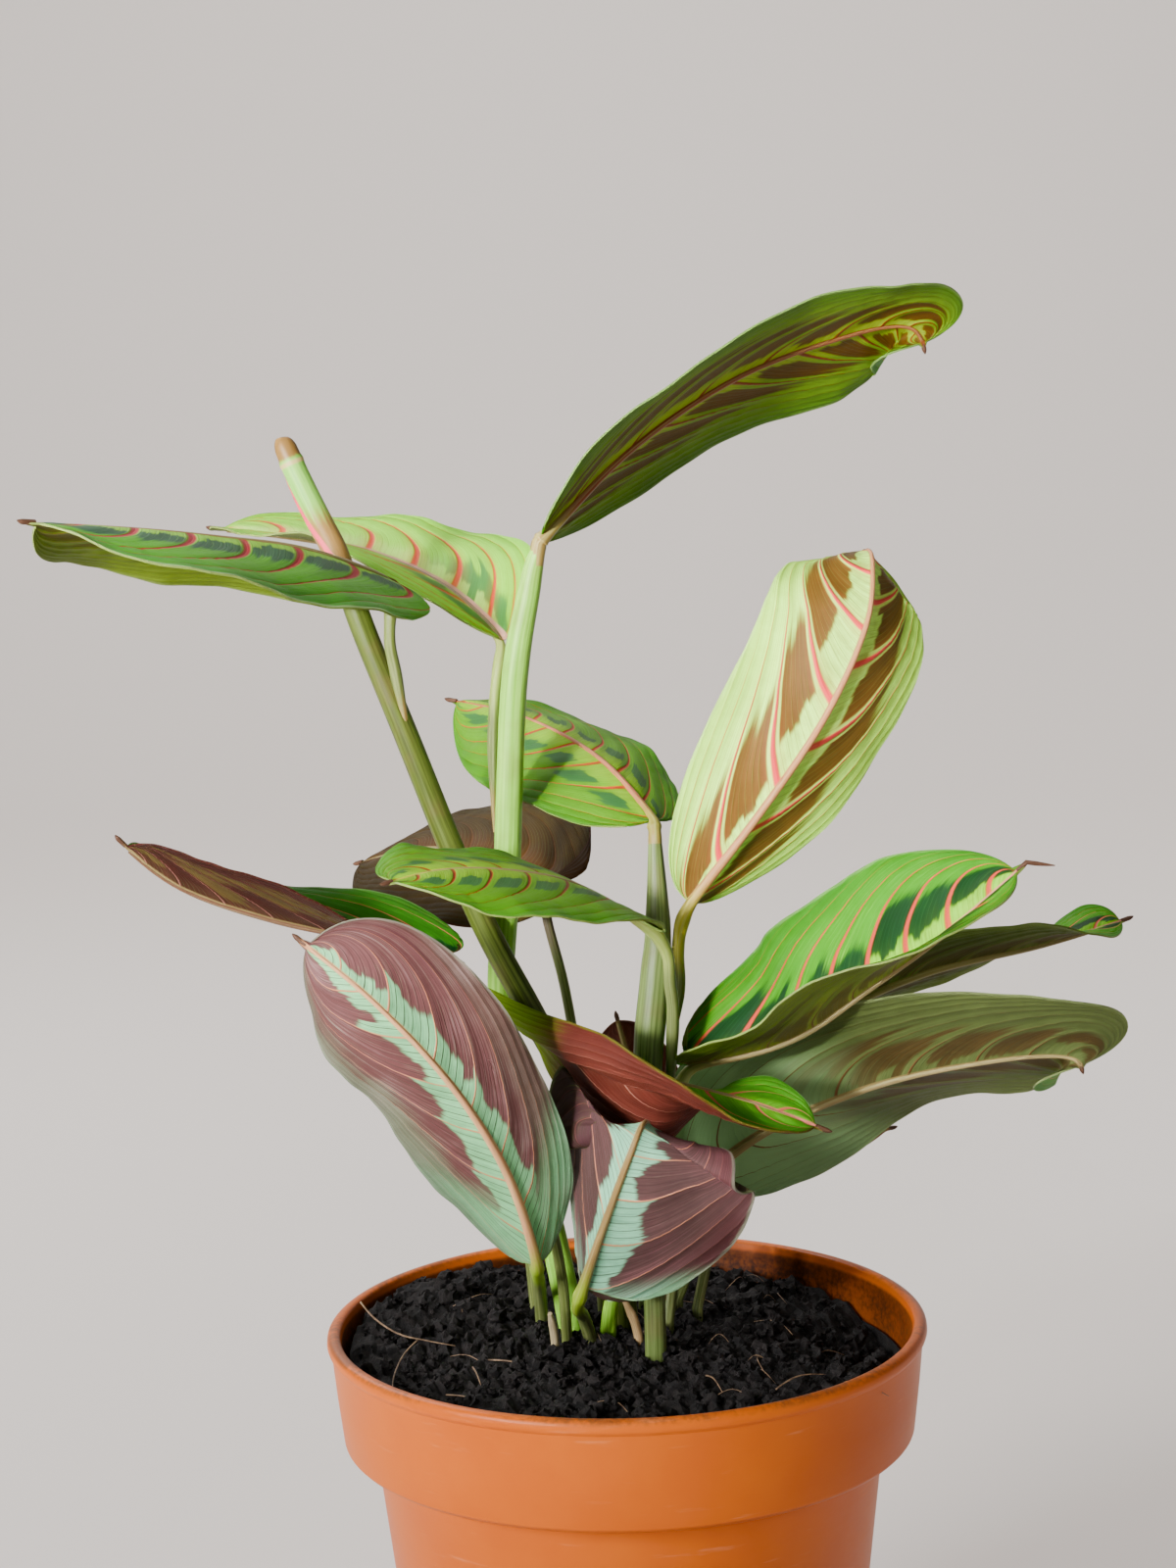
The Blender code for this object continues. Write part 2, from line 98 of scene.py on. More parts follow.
class Paint:
    """A material under construction."""

    def __init__(self, name, roughness=0.5, **constants):
        self.material = bpy.data.materials.new(name)
        self.material.use_nodes = True
        self.tree = self.material.node_tree
        self.shader = self.tree.nodes["Principled BSDF"]
        self.shader.inputs["Roughness"].default_value = roughness
        for socket, value in constants.items():
            self.shader.inputs[socket.replace("_", " ")].default_value = value

    def node(self, kind, settings, values, out=0):
        made = self.tree.nodes.new(kind)
        for key, value in settings.items():
            setattr(made, key, value)
        for key, value in values.items():
            if isinstance(value, Flow):
                self.tree.links.new(value.socket, made.inputs[key])
            else:
                made.inputs[key].default_value = value
        return Flow(self, made.outputs[out])

    def feed(self, socket, value):
        self.tree.links.new(value.socket, self.shader.inputs[socket])

    def ground(self, share, first, second):
        """Starts the colour: the first one changes into the second."""
        self.colour = self.mix(share, tint(first), tint(second))

    def lay(self, share, code):
        """Lays a colour over what there is."""
        self.colour = self.mix(share, self.colour, tint(code))

    def mix(self, share, first, second, blend="MIX"):
        settings = {"data_type": "RGBA", "blend_type": blend}
        return self.node("ShaderNodeMix", settings, {0: share, 6: first, 7: second}, 2)

    def vector(self, x, y, z):
        return self.node("ShaderNodeCombineXYZ", {}, {0: x, 1: y, 2: z})

    def split(self, vector):
        return [self.node("ShaderNodeSeparateXYZ", {}, {0: vector}, i) for i in range(3)]

    def attribute(self, name, out):
        return self.node("ShaderNodeAttribute", {"attribute_name": name}, {}, out)

    def place(self):
        return self.node("ShaderNodeTexCoord", {}, {}, "Object")

    def noise(self, vector, scale, detail=3.0, roughness=0.55):
        values = {"Vector": vector, "Scale": scale, "Detail": detail, "Roughness": roughness}
        return self.node("ShaderNodeTexNoise", {}, values)

    def speckle(self, x, y, z, detail=3.0, roughness=0.55):
        """Noise at a place of its own instead of the piece's."""
        return self.noise(self.vector(x, y, z), 1.0, detail, roughness)

    def done(self, roughness, height, strength, distance):
        """The material, with its colour, roughness and relief joined on."""
        self.feed("Base Color", self.colour)
        if roughness:
            self.feed("Roughness", roughness)
        values = {"Height": height, "Strength": strength, "Distance": distance}
        self.feed("Normal", self.node("ShaderNodeBump", {}, values))
        return self.material

    def glow_through(self, code, share):
        """Lets some light through the thin blade."""
        through = self.tree.nodes.new("ShaderNodeBsdfTranslucent")
        through.inputs["Color"].default_value = tint(code)
        mixed = self.tree.nodes.new("ShaderNodeMixShader")
        mixed.inputs[0].default_value = share
        self.tree.links.new(self.shader.outputs[0], mixed.inputs[1])
        self.tree.links.new(through.outputs[0], mixed.inputs[2])
        self.tree.links.new(mixed.outputs[0], self.tree.nodes["Material Output"].inputs["Surface"])


# ---- leaf looks

# Places across a leaf run from 0 at the midrib to 1 at the edge, and places along it from 0 at the base to 1.
# veins: how many leave each side of the midrib. sweep: how far they run ahead on their way to the edge.
# centre, field, edge: the ground from the midrib outwards. reach: where the first of them gives way.
# patch, patch_along: where the blotches begin and end, across and along. patch_wide: how much of the gap
# between two veins they fill. ragged, uneven, closing, point, taper, combed: how their ends are shaped.
# outer: an ashy colour, with its strength on the left and the right half. base_tint: a colour at the base,
# with the places where it starts and stops fading. rib: half the midrib's width in mm.
# through: what shines through the blade. raised: 1 where the veins stand out and -1 where they're sunk.
# pale: the colour of the painted sheen streaks and of the bloom; streaks: the strength of the dark streaks and the
# sheen.
BASIC = dict(
    veins=7, sweep=(0.10, 0.26, 0.20), centre="80c808", field="4a9a04", edge="388a0c", reach=(0.10, 0.34),
    patch=None, patch_colour="08301a", patch_strength=0.95, patch_wide=0.94, patch_along=(-1.0, 2.0),
    patch_soft=0.05, ragged=0.30, point=0.06, taper=0.12, combed=0.35, outer=None, base_gap=0.0, base_tint=None,
    grain=0.9, bloom=0.0, closing=0.0, uneven=0.18, pale="9adc3c", vein_colour="e0624e", vein_width=0.085,
    vein_fade=0.4, halo=0.0, fine_colour="2f6a22", fine=0.30, fine_count=8, rib_colour="d58a72", rib=0.7,
    margin="b8d28a", edging=0.22, streaks=0.30, dark="2c5a1c", roughness=0.46, shine=0.12, through=("9ed83a", 0.16),
    raised=-1.0,
)
BRIGHT = dict(patch=(0.12, 0.36))
DASHES = dict(
    centre="86b804", field="5a9802", edge="448a04", shine=0.1, grain=0.6, pale="8cc808", patch=(0.22, 0.42),
    patch_wide=0.62, patch_colour="2c5c34", patch_strength=0.9, patch_soft=0.02, ragged=0.16, taper=0.0, combed=0.1,
    vein_colour="8c2408", vein_width=0.09, vein_fade=0.1, rib_colour="b4b030", edging=0.05,
)
PLUM = dict(
    sweep=(0.10, 0.25, 0.32), centre="82c88c", field="80c288", edge="649a6c", reach=(0.5, 0.9), patch=(0.34, 1.4),
    closing=0.20, patch_colour="661434", bloom=0.5, patch_strength=0.92, patch_wide=1.15, uneven=0.42,
    pale="9c8280", patch_along=(0.10, 2.0), ragged=0.26, point=0.09, taper=0.0, combed=0.42,
    outer=("7c8a72", (0.2, 0.75)), base_gap=0.5, vein_colour="d88e66", vein_width=0.036, vein_fade=0.2,
    fine_colour="3a2c26", fine=0.75, fine_count=6, rib_colour="cf9468", rib=0.8, margin="a9c2a0", streaks=0.16,
    dark="5a7a60", roughness=0.45, through=("b08a70", 0.08), raised=1.0,
)
MINT = dict(
    veins=6, sweep=(0.10, 0.22, 0.40), centre="c6fa64", field="bcf456", edge="b0ea4c", reach=(0.4, 0.9),
    patch=(0.19, 0.62), patch_colour="6a2a14", patch_wide=0.78, uneven=0.4, pale="dcff9c", vein_fade=0.1,
    ragged=0.20, point=0.02, taper=0.02, combed=0.08, vein_colour="e63c44", vein_width=0.10, halo=0.14,
    fine_colour="84a044", rib_colour="b8744a", rib=0.75, margin="c3d8a0", streaks=0.16, dark="93a860",
    through=("cfe38a", 0.14), raised=1.0,
)
SAGE = dict(
    veins=8, sweep=(0.12, 0.28, 0.40), centre="5c6a38", field="525f30", edge="5a6834", patch=(0.12, 0.50),
    patch_colour="481a10", patch_strength=0.7, patch_wide=0.8, combed=0.4, uneven=0.7, pale="7e8c5c", ragged=0.4,
    vein_colour="6e4a2c", vein_width=0.04, fine_colour="5a6a3c", rib_colour="8e7a4c", rib=1.0, margin="a7b57c",
    dark="55623a", roughness=0.5, through=("9a9a50", 0.10), raised=1.0,
)
OLIVE = dict(
    SAGE, centre="788a20", field="647a1a", edge="6a801c", patch=(0.1, 0.5), patch_colour="4a2e0c", dark="40500e",
)
MAROON = dict(
    SAGE, centre="42281c", field="3a1814", edge="361410", pale="5e3c32", patch=(0.4, 0.8), patch_colour="5a5024",
    patch_strength=0.55, vein_colour="a06a5c", dark="542a28", margin="5c2c24", through=("a04a30", 0.08),
)
BRICK = dict(
    SAGE, centre="6a3226", field="622a20", edge="5a241c", pale="a05a44", streaks=0.6, patch=None,
    vein_colour="c08068", fine_colour="84463a", dark="7a3a32", margin="8a6a4a", through=("c05a38", 0.14),
)

# What a leaf has where LEAVES doesn't say otherwise.
PLAIN = dict(
    above=BRIGHT, below=OLIVE, stalk="8a9a44", narrow=0, blunt=2.5, lobe=0, curl_left=[0], curl_right=[0],
    slant_left=0, slant_right=0, foot_radius=0.3,
)
# The midrib and the way that each half turns are the solids'; above and below are the two sides' looks.
# A petiole without a foot stands in the soil, and one with a foot grows from a stem there.
LEAVES = {}
LEAVES["leaf_top"] = dict(
    rib=[(-13, 0, 285), (7, 9, 303.5), (30, 16, 317.5), (54, 23, 325.5), (67, 26.5, 327), (71, 28, 322)],
    face=[(-0.5, 0.35, 0.8), (-0.3, 0.35, 0.9)], width=45, left=[-5, -14, -10], right=[0, 0, 0], lobe=0.12,
    petiole=[(-13.88, -0.05, 282.6), (-13.5, -0.1, 283.9)], foot=[(-14.4, 0.05, 279)], foot_radius=1.5,
    thick=1.7,
    below=dict(
        OLIVE, centre="8ca40c", field="668c0a", edge="4a780a", patch=(0.2, 0.6), closing=0.1, pale="7c9c18",
        patch_colour="521a06", patch_wide=0.66, uneven=0.3, combed=0.12, ragged=0.2, patch_strength=0.9,
        vein_colour="7e2e12", vein_width=0.08, rib_colour="7a3818",
    ),
)
LEAVES["leaf_left_trough"] = dict(
    rib=[(-44, -5, 277), (-60, -24, 285), (-76, -42, 289), (-92, -58, 292), (-108, -72, 294)], face=[(0, 0, 1)],
    width=46, left=[-42, -28, -15], right=[-85, -33, -35], narrow_right=0.55, lobe=0.75,
    petiole=[(-44.5, -6.2, 258.5), (-45.3, -6.8, 264), (-45, -6.4, 270)],
    foot=[(-42.2, -5.2, 243), (-43.2, -5.9, 250)], thick=1.3, stalk="5a6824",
    above=dict(
        centre="94d828", field="58b014", edge="3e941c", patch=(0.14, 0.40), patch_wide=0.8,
        patch_colour="2c5440", grain=0.6, vein_colour="b0102a", vein_width=0.15, vein_fade=0.1,
        rib_colour="b02438", edging=0.6,
    ),
    below=dict(OLIVE, vein_colour="9a4a34"),
)
LEAVES["leaf_behind_left"] = dict(
    rib=[(-22, 7, 263), (-35, 22, 274), (-52, 38, 281), (-70, 53, 284), (-91, 68, 286)], face=[(0, 0, 1)],
    width=45, left=[15, 12, 0], right=[45, 13, 18], blunt=3,
    petiole=[(-25, 3.9, 240), (-24.6, 3.6, 246), (-24.1, 3.8, 252), (-23.1, 5.2, 258)],
    foot=[(-25.2, 4.2, 222), (-25.2, 4.0, 231)], thick=1.2,
    # The upper side is its own bright lime, painted paler towards white as a painted glow of the light that shines
    # through it.
    above=dict(
        centre="ccff68", field="a8ff28", edge="98f418", through=("c8ff38", 0.4), grain=0.5, pale="e8ffa0",
        patch=(0.12, 0.42), patch_along=(-1.0, 0.32), patch_colour="4f9a4a", vein_colour="f23e30",
        vein_width=0.13, vein_fade=0.1, halo=0.2, rib_colour="f8b0a0", rib=1.2, fine=0.12, streaks=0.15,
        dark="7ed024",
    ),
)
LEAVES["leaf_mid_right"] = dict(
    rib=[(9, 2, 224), (0, 14, 234), (-10, 27, 240), (-22, 40, 244), (-36, 50, 246)], face=[(0, -0.1, 1)],
    width=42, left=[-14, -28, -42], right=[-25, -14, -8], lobe=0.1, petiole=[(9, 0.1, 219.5), (9, 0.6, 221.5)],
    foot=[(9, -0.4, 214)], stalk="7c9024", rib_tone="a8583a", foot_radius=1.5, thick=1.5,
    above=dict(DASHES, vein_colour="b83018", rib_colour="c45a34"),
)
LEAVES["leaf_mid_left"] = dict(
    rib=[(4, -14, 206), (-9, -28, 216), (-22, -40, 221), (-34, -50, 223), (-44.5, -59, 222)],
    face=[(0, -0.05, 1)], width=42, left=[-8, -20, -15], right=[10, 5, 0], lobe=0.5,
    petiole=[(11.1, -9.6, 175.5), (11.6, -9.4, 185), (11.1, -9.9, 191), (10.7, -10.4, 197), (8.2, -12.6, 202)],
    foot=[(9.3, -10.6, 156), (10.4, -10, 166)], thick=1.4, above=DASHES,
)
LEAVES["leaf_upright"] = dict(
    rib=[(16, -4, 207), (31, -7, 226), (45, -8, 246), (54, -6, 264.5), (56.5, 3, 277), (56, 15, 279)],
    face=[
        (-0.1, 0.95, 0.1), (-0.1, 0.95, 0), (-0.1, 0.95, -0.1), (-0.3, 0.6, -0.6), (-0.2, 0.1, -1),
        (-0.2, -0.2, -1),
    ],
    width=48, left=[35, 40, 40], right=[0, 5, 10], curl_right=[10, 20, 0], narrow=0.16, lobe=0.1,
    petiole=[(13.1, -4.2, 189), (13.1, -4.2, 196), (14, -4, 202)], foot=[(10, -6.6, 171), (11.6, -5.4, 180)],
    stalk="a8a028", thick=1.5, below=MINT,
)
LEAVES["leaf_back_dark"] = dict(
    rib=[(-14, 27, 207), (-28, 43, 211), (-44, 56, 211), (-60, 68, 206)], face=[(0.1, 0.1, 1)], width=48,
    left=[-45, -38, -30], right=[50, 30, 20], lobe=0.55,
    petiole=[(-5, 16, 112), (-7, 18, 150), (-11, 21, 182), (-15, 25, 200)], thick=1.2,
    above=dict(
        MAROON, centre="442a10", field="342408", edge="2e2208", pale="4a3818", patch=None, dark="241a06",
        vein_colour="5a3a20", shine=0.05, raised=-1.0,
    ),
    below=dict(
        MAROON, centre="3c2410", field="382008", edge="301c08", pale="46301a", patch=None, vein_colour="5a3a20",
        shine=0.05,
    ),
    stalk="5a4a38",
)
LEAVES["leaf_far_left"] = dict(
    rib=[(-36, 2, 196), (-52, -3, 201), (-72, -9, 207), (-90, -14, 215), (-102, -18, 226)], face=[(0.2, 0, 1)],
    width=28, left=[-20, 35, 45], right=[62, 22, 25], lobe=0.6,
    petiole=[(-20, 17, 112), (-23, 13, 145), (-30, 7, 176), (-34, 4, 190)], thick=1.3,
    above=dict(BRIGHT, field="2f7c10", centre="3f8a14", edge="2c7010", shine=0.1), below=MAROON, stalk="7a5a48",
    rib_tone="6a4434",
)
LEAVES["leaf_front_left"] = dict(
    rib=[(-18.5, -20, 134), (-24, -35, 158), (-34, -46, 179), (-48, -51, 197), (-63, -49, 210)],
    face=[(-0.05, 0.93, 0.3)], width=42, left=[27, 21, 12], right=[8, 5, 5], curl_left=[10], curl_right=[30],
    narrow_left=0.34, narrow_right=0.16, blunt=3.2, lobe=0.22,
    petiole=[(-18.5, 9, 111.5), (-18.6, 2, 120), (-18.6, -7, 126), (-18.7, -15, 130.5)], thick=1.5, below=PLUM,
    stalk="8aac1c",
)
LEAVES["leaf_front"] = dict(
    rib=[(-9, -28, 131), (-4, -35.5, 147), (1.5, -39.5, 162), (4.5, -35, 167), (6.5, -24, 160)],
    face=[(0.15, 0.95, 0.2), (0.1, 0.95, 0), (-0.3, -0.6, -0.75)], width=54, left=[10, 5, 0],
    right=[67, 44, 25], lobe=0.25, slant_left=0.05, slant_right=0.28,
    petiole=[(-8, -2, 111.5), (-9.3, -9, 118.5), (-10.3, -18, 123), (-10, -25, 127)], thick=1.5,
    # Painted shade: the upper side, seen near the tip, is painted dark plum-brown instead of green, for the shadow
    # that it lies in.
    above=dict(
        BRIGHT, centre="5a3a3c", field="4e2c34", edge="44242c", patch=None, vein_colour="8a5a44", fine=0.2,
    ),
    below=dict(
        PLUM, veins=6, patch=(0.27, 1.5), patch_colour="4e0a24", bloom=0.4, patch_strength=0.93, combed=0.1,
        pale="7a4a50", outer=None, base_gap=0.05, patch_along=(-0.04, 2.0), centre="86c8a0", field="84c49c",
    ),
    stalk="8aa81c", rib_tone="86683a",
)
LEAVES["leaf_small_front"] = dict(
    rib=[
        (-28, -10, 191), (-14, -19, 180.5), (1, -24.5, 175), (14, -27, 173), (28, -28, 168.8), (42, -28, 162.7),
    ],
    face=[(0, -0.1, 1)], width=34, left=[-30, -60, -75, -5, 25], right=[-15, -15, -40, -40],
    curl_right=[120, 135, 95, 60], petiole=[(-13, -3, 112), (-15, -6, 135), (-23, -9, 165), (-28.5, -9.5, 184)],
    thick=1.2,
    above=dict(
        BRIGHT, patch=None, vein_colour="f07060", rib_colour="f08a78", rib=1.0, centre="6cc41a", field="4fae1a",
    ),
    below=dict(BRICK, base_tint=("9cc80c", 0.10, 0.26), margin="6c8a14", edging=0.35),
)
LEAVES["leaf_right"] = dict(
    rib=[(15, -2, 171.5), (36, -10, 178), (53, -15, 190), (69, -18, 202), (85, -20, 216)],
    face=[(-0.3, -0.1, 0.9)], width=50, left=[50, 48, 48], right=[25, 30, -10], lobe=0.25,
    petiole=[(9.7, -8.1, 140), (9.9, -7.2, 150), (10.5, -6, 159), (12.3, -4, 166)],
    foot=[(8.2, -10.2, 122), (8.9, -9.2, 131)], thick=1.4, tip=(6.0, 0.0, -1.0),
    above=dict(
        BRIGHT, veins=8, patch=(0.12, 0.46), vein_colour="dc4a38", vein_width=0.13, vein_fade=0.1,
        centre="94e008", field="449e04", edge="328806", streaks=0.5,
    ),
)
LEAVES["leaf_right_narrow"] = dict(
    rib=[(38, 33, 169), (68, 36, 181.5), (97, 38, 187.5), (117, 40, 192.5)],
    face=[(-0.2, 0.5, 0.8), (-0.2, 0.5, 0.8), (-0.3, -0.5, 0.8)], width=28, blunt=4, left=[10], right=[10],
    petiole=[(16, 15, 112), (24, 29, 138), (33, 33, 158)], thick=1.2,
    below=dict(OLIVE, centre="5c6426", field="4f5a22", patch_colour="4a2a1a"),
)
LEAVES["leaf_right_low"] = dict(
    rib=[(19, 14, 143), (34, 11, 154), (57, 5, 164.5), (80, 0, 170), (95, -2, 171), (99, -2.5, 168)],
    face=[(-0.1, 0.9, 0.45), (-0.2, 0.6, 0.8), (-0.2, 0.65, 0.75)], width=54, left=[5], right=[50, 15, 5],
    blunt=3.6, lobe=0.35, petiole=[(9, 6, 112), (12, 12, 128), (16, 20, 137)], thick=1.5,
    below=dict(SAGE, base_tint=("8cb87c", 0.12, 0.42)),
)
LEAVES["leaf_orange"] = dict(
    rib=[(28, 36, 134), (45, 46, 140), (64, 53, 142)], face=[(0, 0.7, 0.7)], width=22, left=[5], right=[5],
    petiole=[(12, 22, 112), (18, 28, 123), (24, 33.5, 130)], thick=1.1,
    above=dict(BRICK, field="7a4420", raised=-1.0),
    below=dict(BRICK, centre="8c4a22", field="84461f", edge="7a3e1c", vein_colour="6a3418", dark="5a2c12"),
)
LEAVES["leaf_back_small"] = dict(
    rib=[(9, 27, 146), (4, 30, 160), (0, 32, 175)], face=[(0.2, 0.9, 0.2)], width=20, left=[10], right=[10],
    petiole=[(4, 18, 112), (6, 22, 130), (9, 26, 141)], thick=1.1,
    above=dict(BRICK, field="4a2c1c", raised=-1.0),
    below=dict(BRICK, centre="4a2a1c", field="42241a", edge="3a2018", vein_colour="5a3424", dark="2a1610"),
    stalk="4a3a2c",
)


def full(look):
    """A look with the values that it doesn't name."""
    return SimpleNamespace(**{**BASIC, **look})


def veins_past(look, t, off, side):
    """How many veins lie between a point and the leaf's base, in halves of a leaf and in a material alike."""
    first, second, fourth = look.sweep
    square = off * off
    return (t - off * first - square * second - square * square * fourth) * look.veins + side * 0.47


def leaf_paint(name, look, seed):
    """One side of a leaf: colours by the distance from the midrib, blotches between the veins, and the veins."""
    look = full(look)
    paint = Paint(name, look.roughness, IOR=SAP_IOR, Specular_IOR_Level=look.shine)
    u, t, _ = paint.split(paint.node("ShaderNodeUVMap", {"uv_map": "leaf"}, {}))
    across = u * 2 - 1
    off = abs(across)
    side = across.rise(-0.001, 0.001)
    warp = paint.speckle(t * 3.5, across * 1.6, seed, 1.0) - 0.5
    # cell runs from 0 to 1 from one vein to the next, and near is 1 at a vein and 0 halfway between two
    phase = veins_past(look, t + warp * 0.035, off, side)
    cell = phase.fraction()
    near = abs(cell * 2 - 1)
    # Broad streaks, fine ones, clouds, specks, and a chance value for each gap between veins
    streak = paint.speckle(phase * 5.0, off * 1.4, seed + 3, 2.0) - 0.5
    hair = paint.speckle(phase * 20.0, off * 3.5, seed + 6, 3.0, 0.65) - 0.5
    cloud = paint.noise(paint.place(), 70.0, 2.0) - 0.5
    speck = paint.noise(paint.place(), 420.0, 2.0) - 0.5
    luck = paint.speckle((phase - cell) * 3.7, side * 5.3, seed * 2, 0.0) - 0.5
    # Ground
    paint.ground((off + streak * 0.35).rise(*look.reach), look.centre, look.field)
    paint.lay((off + streak * 0.15).rise(0.62, 1.0), look.edge)
    paint.lay((hair + streak * 0.6 + cloud * 0.7).rise(-0.05, 0.75) * look.streaks * 2, look.dark)
    # Pale streaks laid over the ground: painted sheen
    paint.lay((hair + cloud * 0.3).rise(0.04, 0.42) * look.streaks * 1.4, look.pale)
    # Blotches
    if look.patch:
        start, end = look.patch
        first, last = look.patch_along
        soft = look.patch_soft
        strip = phase * look.fine_count * 0.6
        jag = paint.noise(paint.vector(strip - strip.fraction(), side * 3.3, seed * 3), 1.37, 0.0) - 0.5
        frayed = off + (jag * 0.9 + streak * 0.5 + hair * 0.3) * look.ragged + warp * 0.1
        gap = t.rise(look.base_gap, look.base_gap * 0.2 - 0.01) * 0.8
        near_vein = near * near
        inner = frayed - near_vein * look.point + luck * look.uneven + t * look.closing
        outer = frayed + near_vein * look.taper + luck * 0.4 + gap
        inside = inner.rise(start - soft * 0.5, start + soft * 0.5) * outer.rise(end + soft, end - soft)
        inside = inside * near.rise(look.patch_wide + 0.04, look.patch_wide - 0.06)
        inside = inside * (t - off * 0.2 + streak * 0.1).rise(first - 0.08, first + 0.08)
        inside = inside * (t + streak * 0.1).rise(last + 0.08, last - 0.08)
        inside = inside * (1 - hair.rise(0.05, 0.4) * look.combed)
        if look.outer:
            ash, (left, right) = look.outer
            strength = side * (right - left) + left
            ashy = (off - t * 0.35 + (streak + hair) * 0.5 + cloud * 0.5).rise(0.35, 0.8) * strength * 0.8
            inside = inside * (1 - ashy)
            paint.lay(ashy, ash)
        paint.lay(inside * look.patch_strength, look.patch_colour)
    if look.bloom:
        ashen = (hair * 0.9 + cloud * 0.9 + streak * 0.6).rise(-0.06, 0.42) * off.rise(0.12, 0.4)
        paint.lay(ashen * look.bloom, look.pale)
    shade = hair * 1.3 + streak * 0.7 + cloud * 0.6 + luck * 0.3 + speck * 0.35 + 0.97
    paint.colour = paint.mix(look.grain, paint.colour, shade, "MULTIPLY")
    # Veins
    between = abs((phase * look.fine_count + streak * 0.6).fraction() * 2 - 1)
    fine = between.rise(0.80, 0.98) * (hair * 1.5 + 0.7)
    paint.lay(fine * look.fine * 1.6, look.fine_colour)
    width = look.vein_width * (1.25 - off * 0.75)
    vein = near.rise(1 - width * 1.25, 1 - width * 0.5) * off.rise(1.02, 0.7)
    if look.base_tint:
        base_colour, low, high = look.base_tint
        paint.lay((t + streak * 0.1).rise(high, low), base_colour)
    if look.halo:
        paint.lay(near.rise(1 - width * 5, 1 - width) * look.halo * off.rise(0.9, 0.4), look.vein_colour)
    paint.lay(vein * (1 - off.rise(0.35, 1.0) * look.vein_fade), look.vein_colour)
    # Midrib, edge and dry tip
    paint.lay((paint.attribute("apart", "Fac") - look.rib * (1.1 - t * 0.75)).rise(0.25, -0.1), look.rib_colour)
    paint.lay((off + streak * 0.04).rise(0.965, 0.985) * look.edging, look.margin)
    paint.lay((t + streak * 0.01).rise(0.982, 0.992) * 0.85, "5a3416")
    paint.glow_through(*look.through)
    height = (vein * 1.2 + fine * 0.5 + near * near * 1.8) * look.raised + hair * 0.9 + speck * 0.5
    return paint.done(look.roughness + hair * 0.25 + cloud * 0.1, height, 0.6, 0.00025)


def stalk_start(name, roughness, scale, run, seed):
    """A rod's material, the place round the rod and along it in mm, and streaks that run along it."""
    paint = Paint(name, roughness, IOR=SAP_IOR, Specular_IOR_Level=0.3)
    x, y, s = paint.split(paint.attribute("round", "Vector"))
    return paint, x, y, s, paint.speckle(x * scale, y * scale, s * run + seed)


def stem_paint(name, colour, light, seed):
    """Stems and sheaths: streaks that run along them, and brownish clouds."""
    paint, x, y, s, streak = stalk_start(name, 0.4, 4.5, 0.03, seed)
    paint.ground(streak.rise(0.3, 0.75), colour, light)
    cloud = paint.speckle(x * 0.4, y * 0.4, s * 0.12 + seed, 2.0)
    paint.lay(cloud.rise(0.45, 0.75) * 0.25, "6a4a34")
    return paint.done(streak * 0.3 + 0.28, streak, 0.2, 0.0003)


def petiole_paint(leaf, path):
    """A petiole that changes from its own green to the midrib's colour where the blade begins."""
    paint, x, y, s, streak = stalk_start(leaf["name"] + "_stalk", 0.4, 3.5, 0.03, leaf["phase"])
    base = float(distances(path)[-RIB_STEPS])
    paint.ground((s + streak * 6).rise(base - 16, base - 8), "56622c", leaf["stalk"])
    paint.lay((s + streak * 6).rise(base - 3, base + 12), leaf.get("rib_tone", full(leaf["below"]).rib_colour))
    if "foot" in leaf:
        paint.lay((s + streak * 8).rise(16, 9) * 0.8, "8a6434")
    paint.lay(streak.rise(0.4, 0.75) * 0.3, "c0c484")
    return paint.done(streak * 0.3 + 0.28, streak, 0.4, 0.0003)


# ---- shapes


def unit(rows):
    return rows / np.linalg.norm(rows, axis=-1, keepdims=True)


def spline(points, t):
    """Points along a smooth curve through the given ones, for t from 0 to 1."""
    p = np.array(points, float)
    first = 2 * p[0] - p[1] + 0.5 * (p[0] - 2 * p[1] + p[2])
    last = 2 * p[-1] - p[-2] + 0.5 * (p[-1] - 2 * p[-2] + p[-3])
    q = np.vstack([first, p, last])
    s = np.clip(t, -0.02, 1.02) * (len(p) - 1)
    i = np.clip(np.floor(s).astype(int), 0, len(p) - 2)
    u = (s - i)[:, None]
    a, b, c, d = q[i], q[i + 1], q[i + 2], q[i + 3]
    return 0.5 * (2 * b + (c - a) * u + (2 * a - 5 * b + 4 * c - d) * u**2 + (3 * b - a - 3 * c + d) * u**3)


def curve(points, steps):
    return spline(points, np.linspace(0, 1, steps))


def rooted(points, steps):
    """A curve that starts in the soil, straight below the first point."""
    return np.vstack([(*points[0][:2], DEEP), curve(points, steps)])


def along(values, t):
    """A number that changes from base to tip."""
    v = np.array(values, float)
    if len(v) == 1:
        return np.full_like(t, v[0])
    if len(v) == 2:
        return v[0] + (v[1] - v[0]) * t * t * (3 - 2 * t)
    return spline(v[:, None], t)[:, 0]


def frame_of(leaf, t):
    """The midrib's points, its direction, the upper side's direction and the way across, at each t."""
    middle = spline(leaf["rib"], t)
    ahead = unit(spline(leaf["rib"], t + 5e-3) - spline(leaf["rib"], t - 5e-3))
    face = np.stack([along([f[k] for f in leaf["face"]], t) for k in range(3)], -1)
    upper = unit(face - (face * ahead).sum(-1, keepdims=True) * ahead)
    return middle, ahead, upper, np.cross(ahead, upper)


def half_width(t, blunt):
    """The leaf's outline, as a share of half its width, with a drawn-out point."""
    s = np.clip(t / 0.965, 0, 1) ** 0.93
    body = np.clip(1 - np.abs(2 * s - 1) ** blunt, 0, None) ** 0.58
    point = 0.11 * np.clip((1 - t) / 0.1, 0, 1) ** 0.8
    return np.maximum(body, np.where(t > 0.5, point, 0))


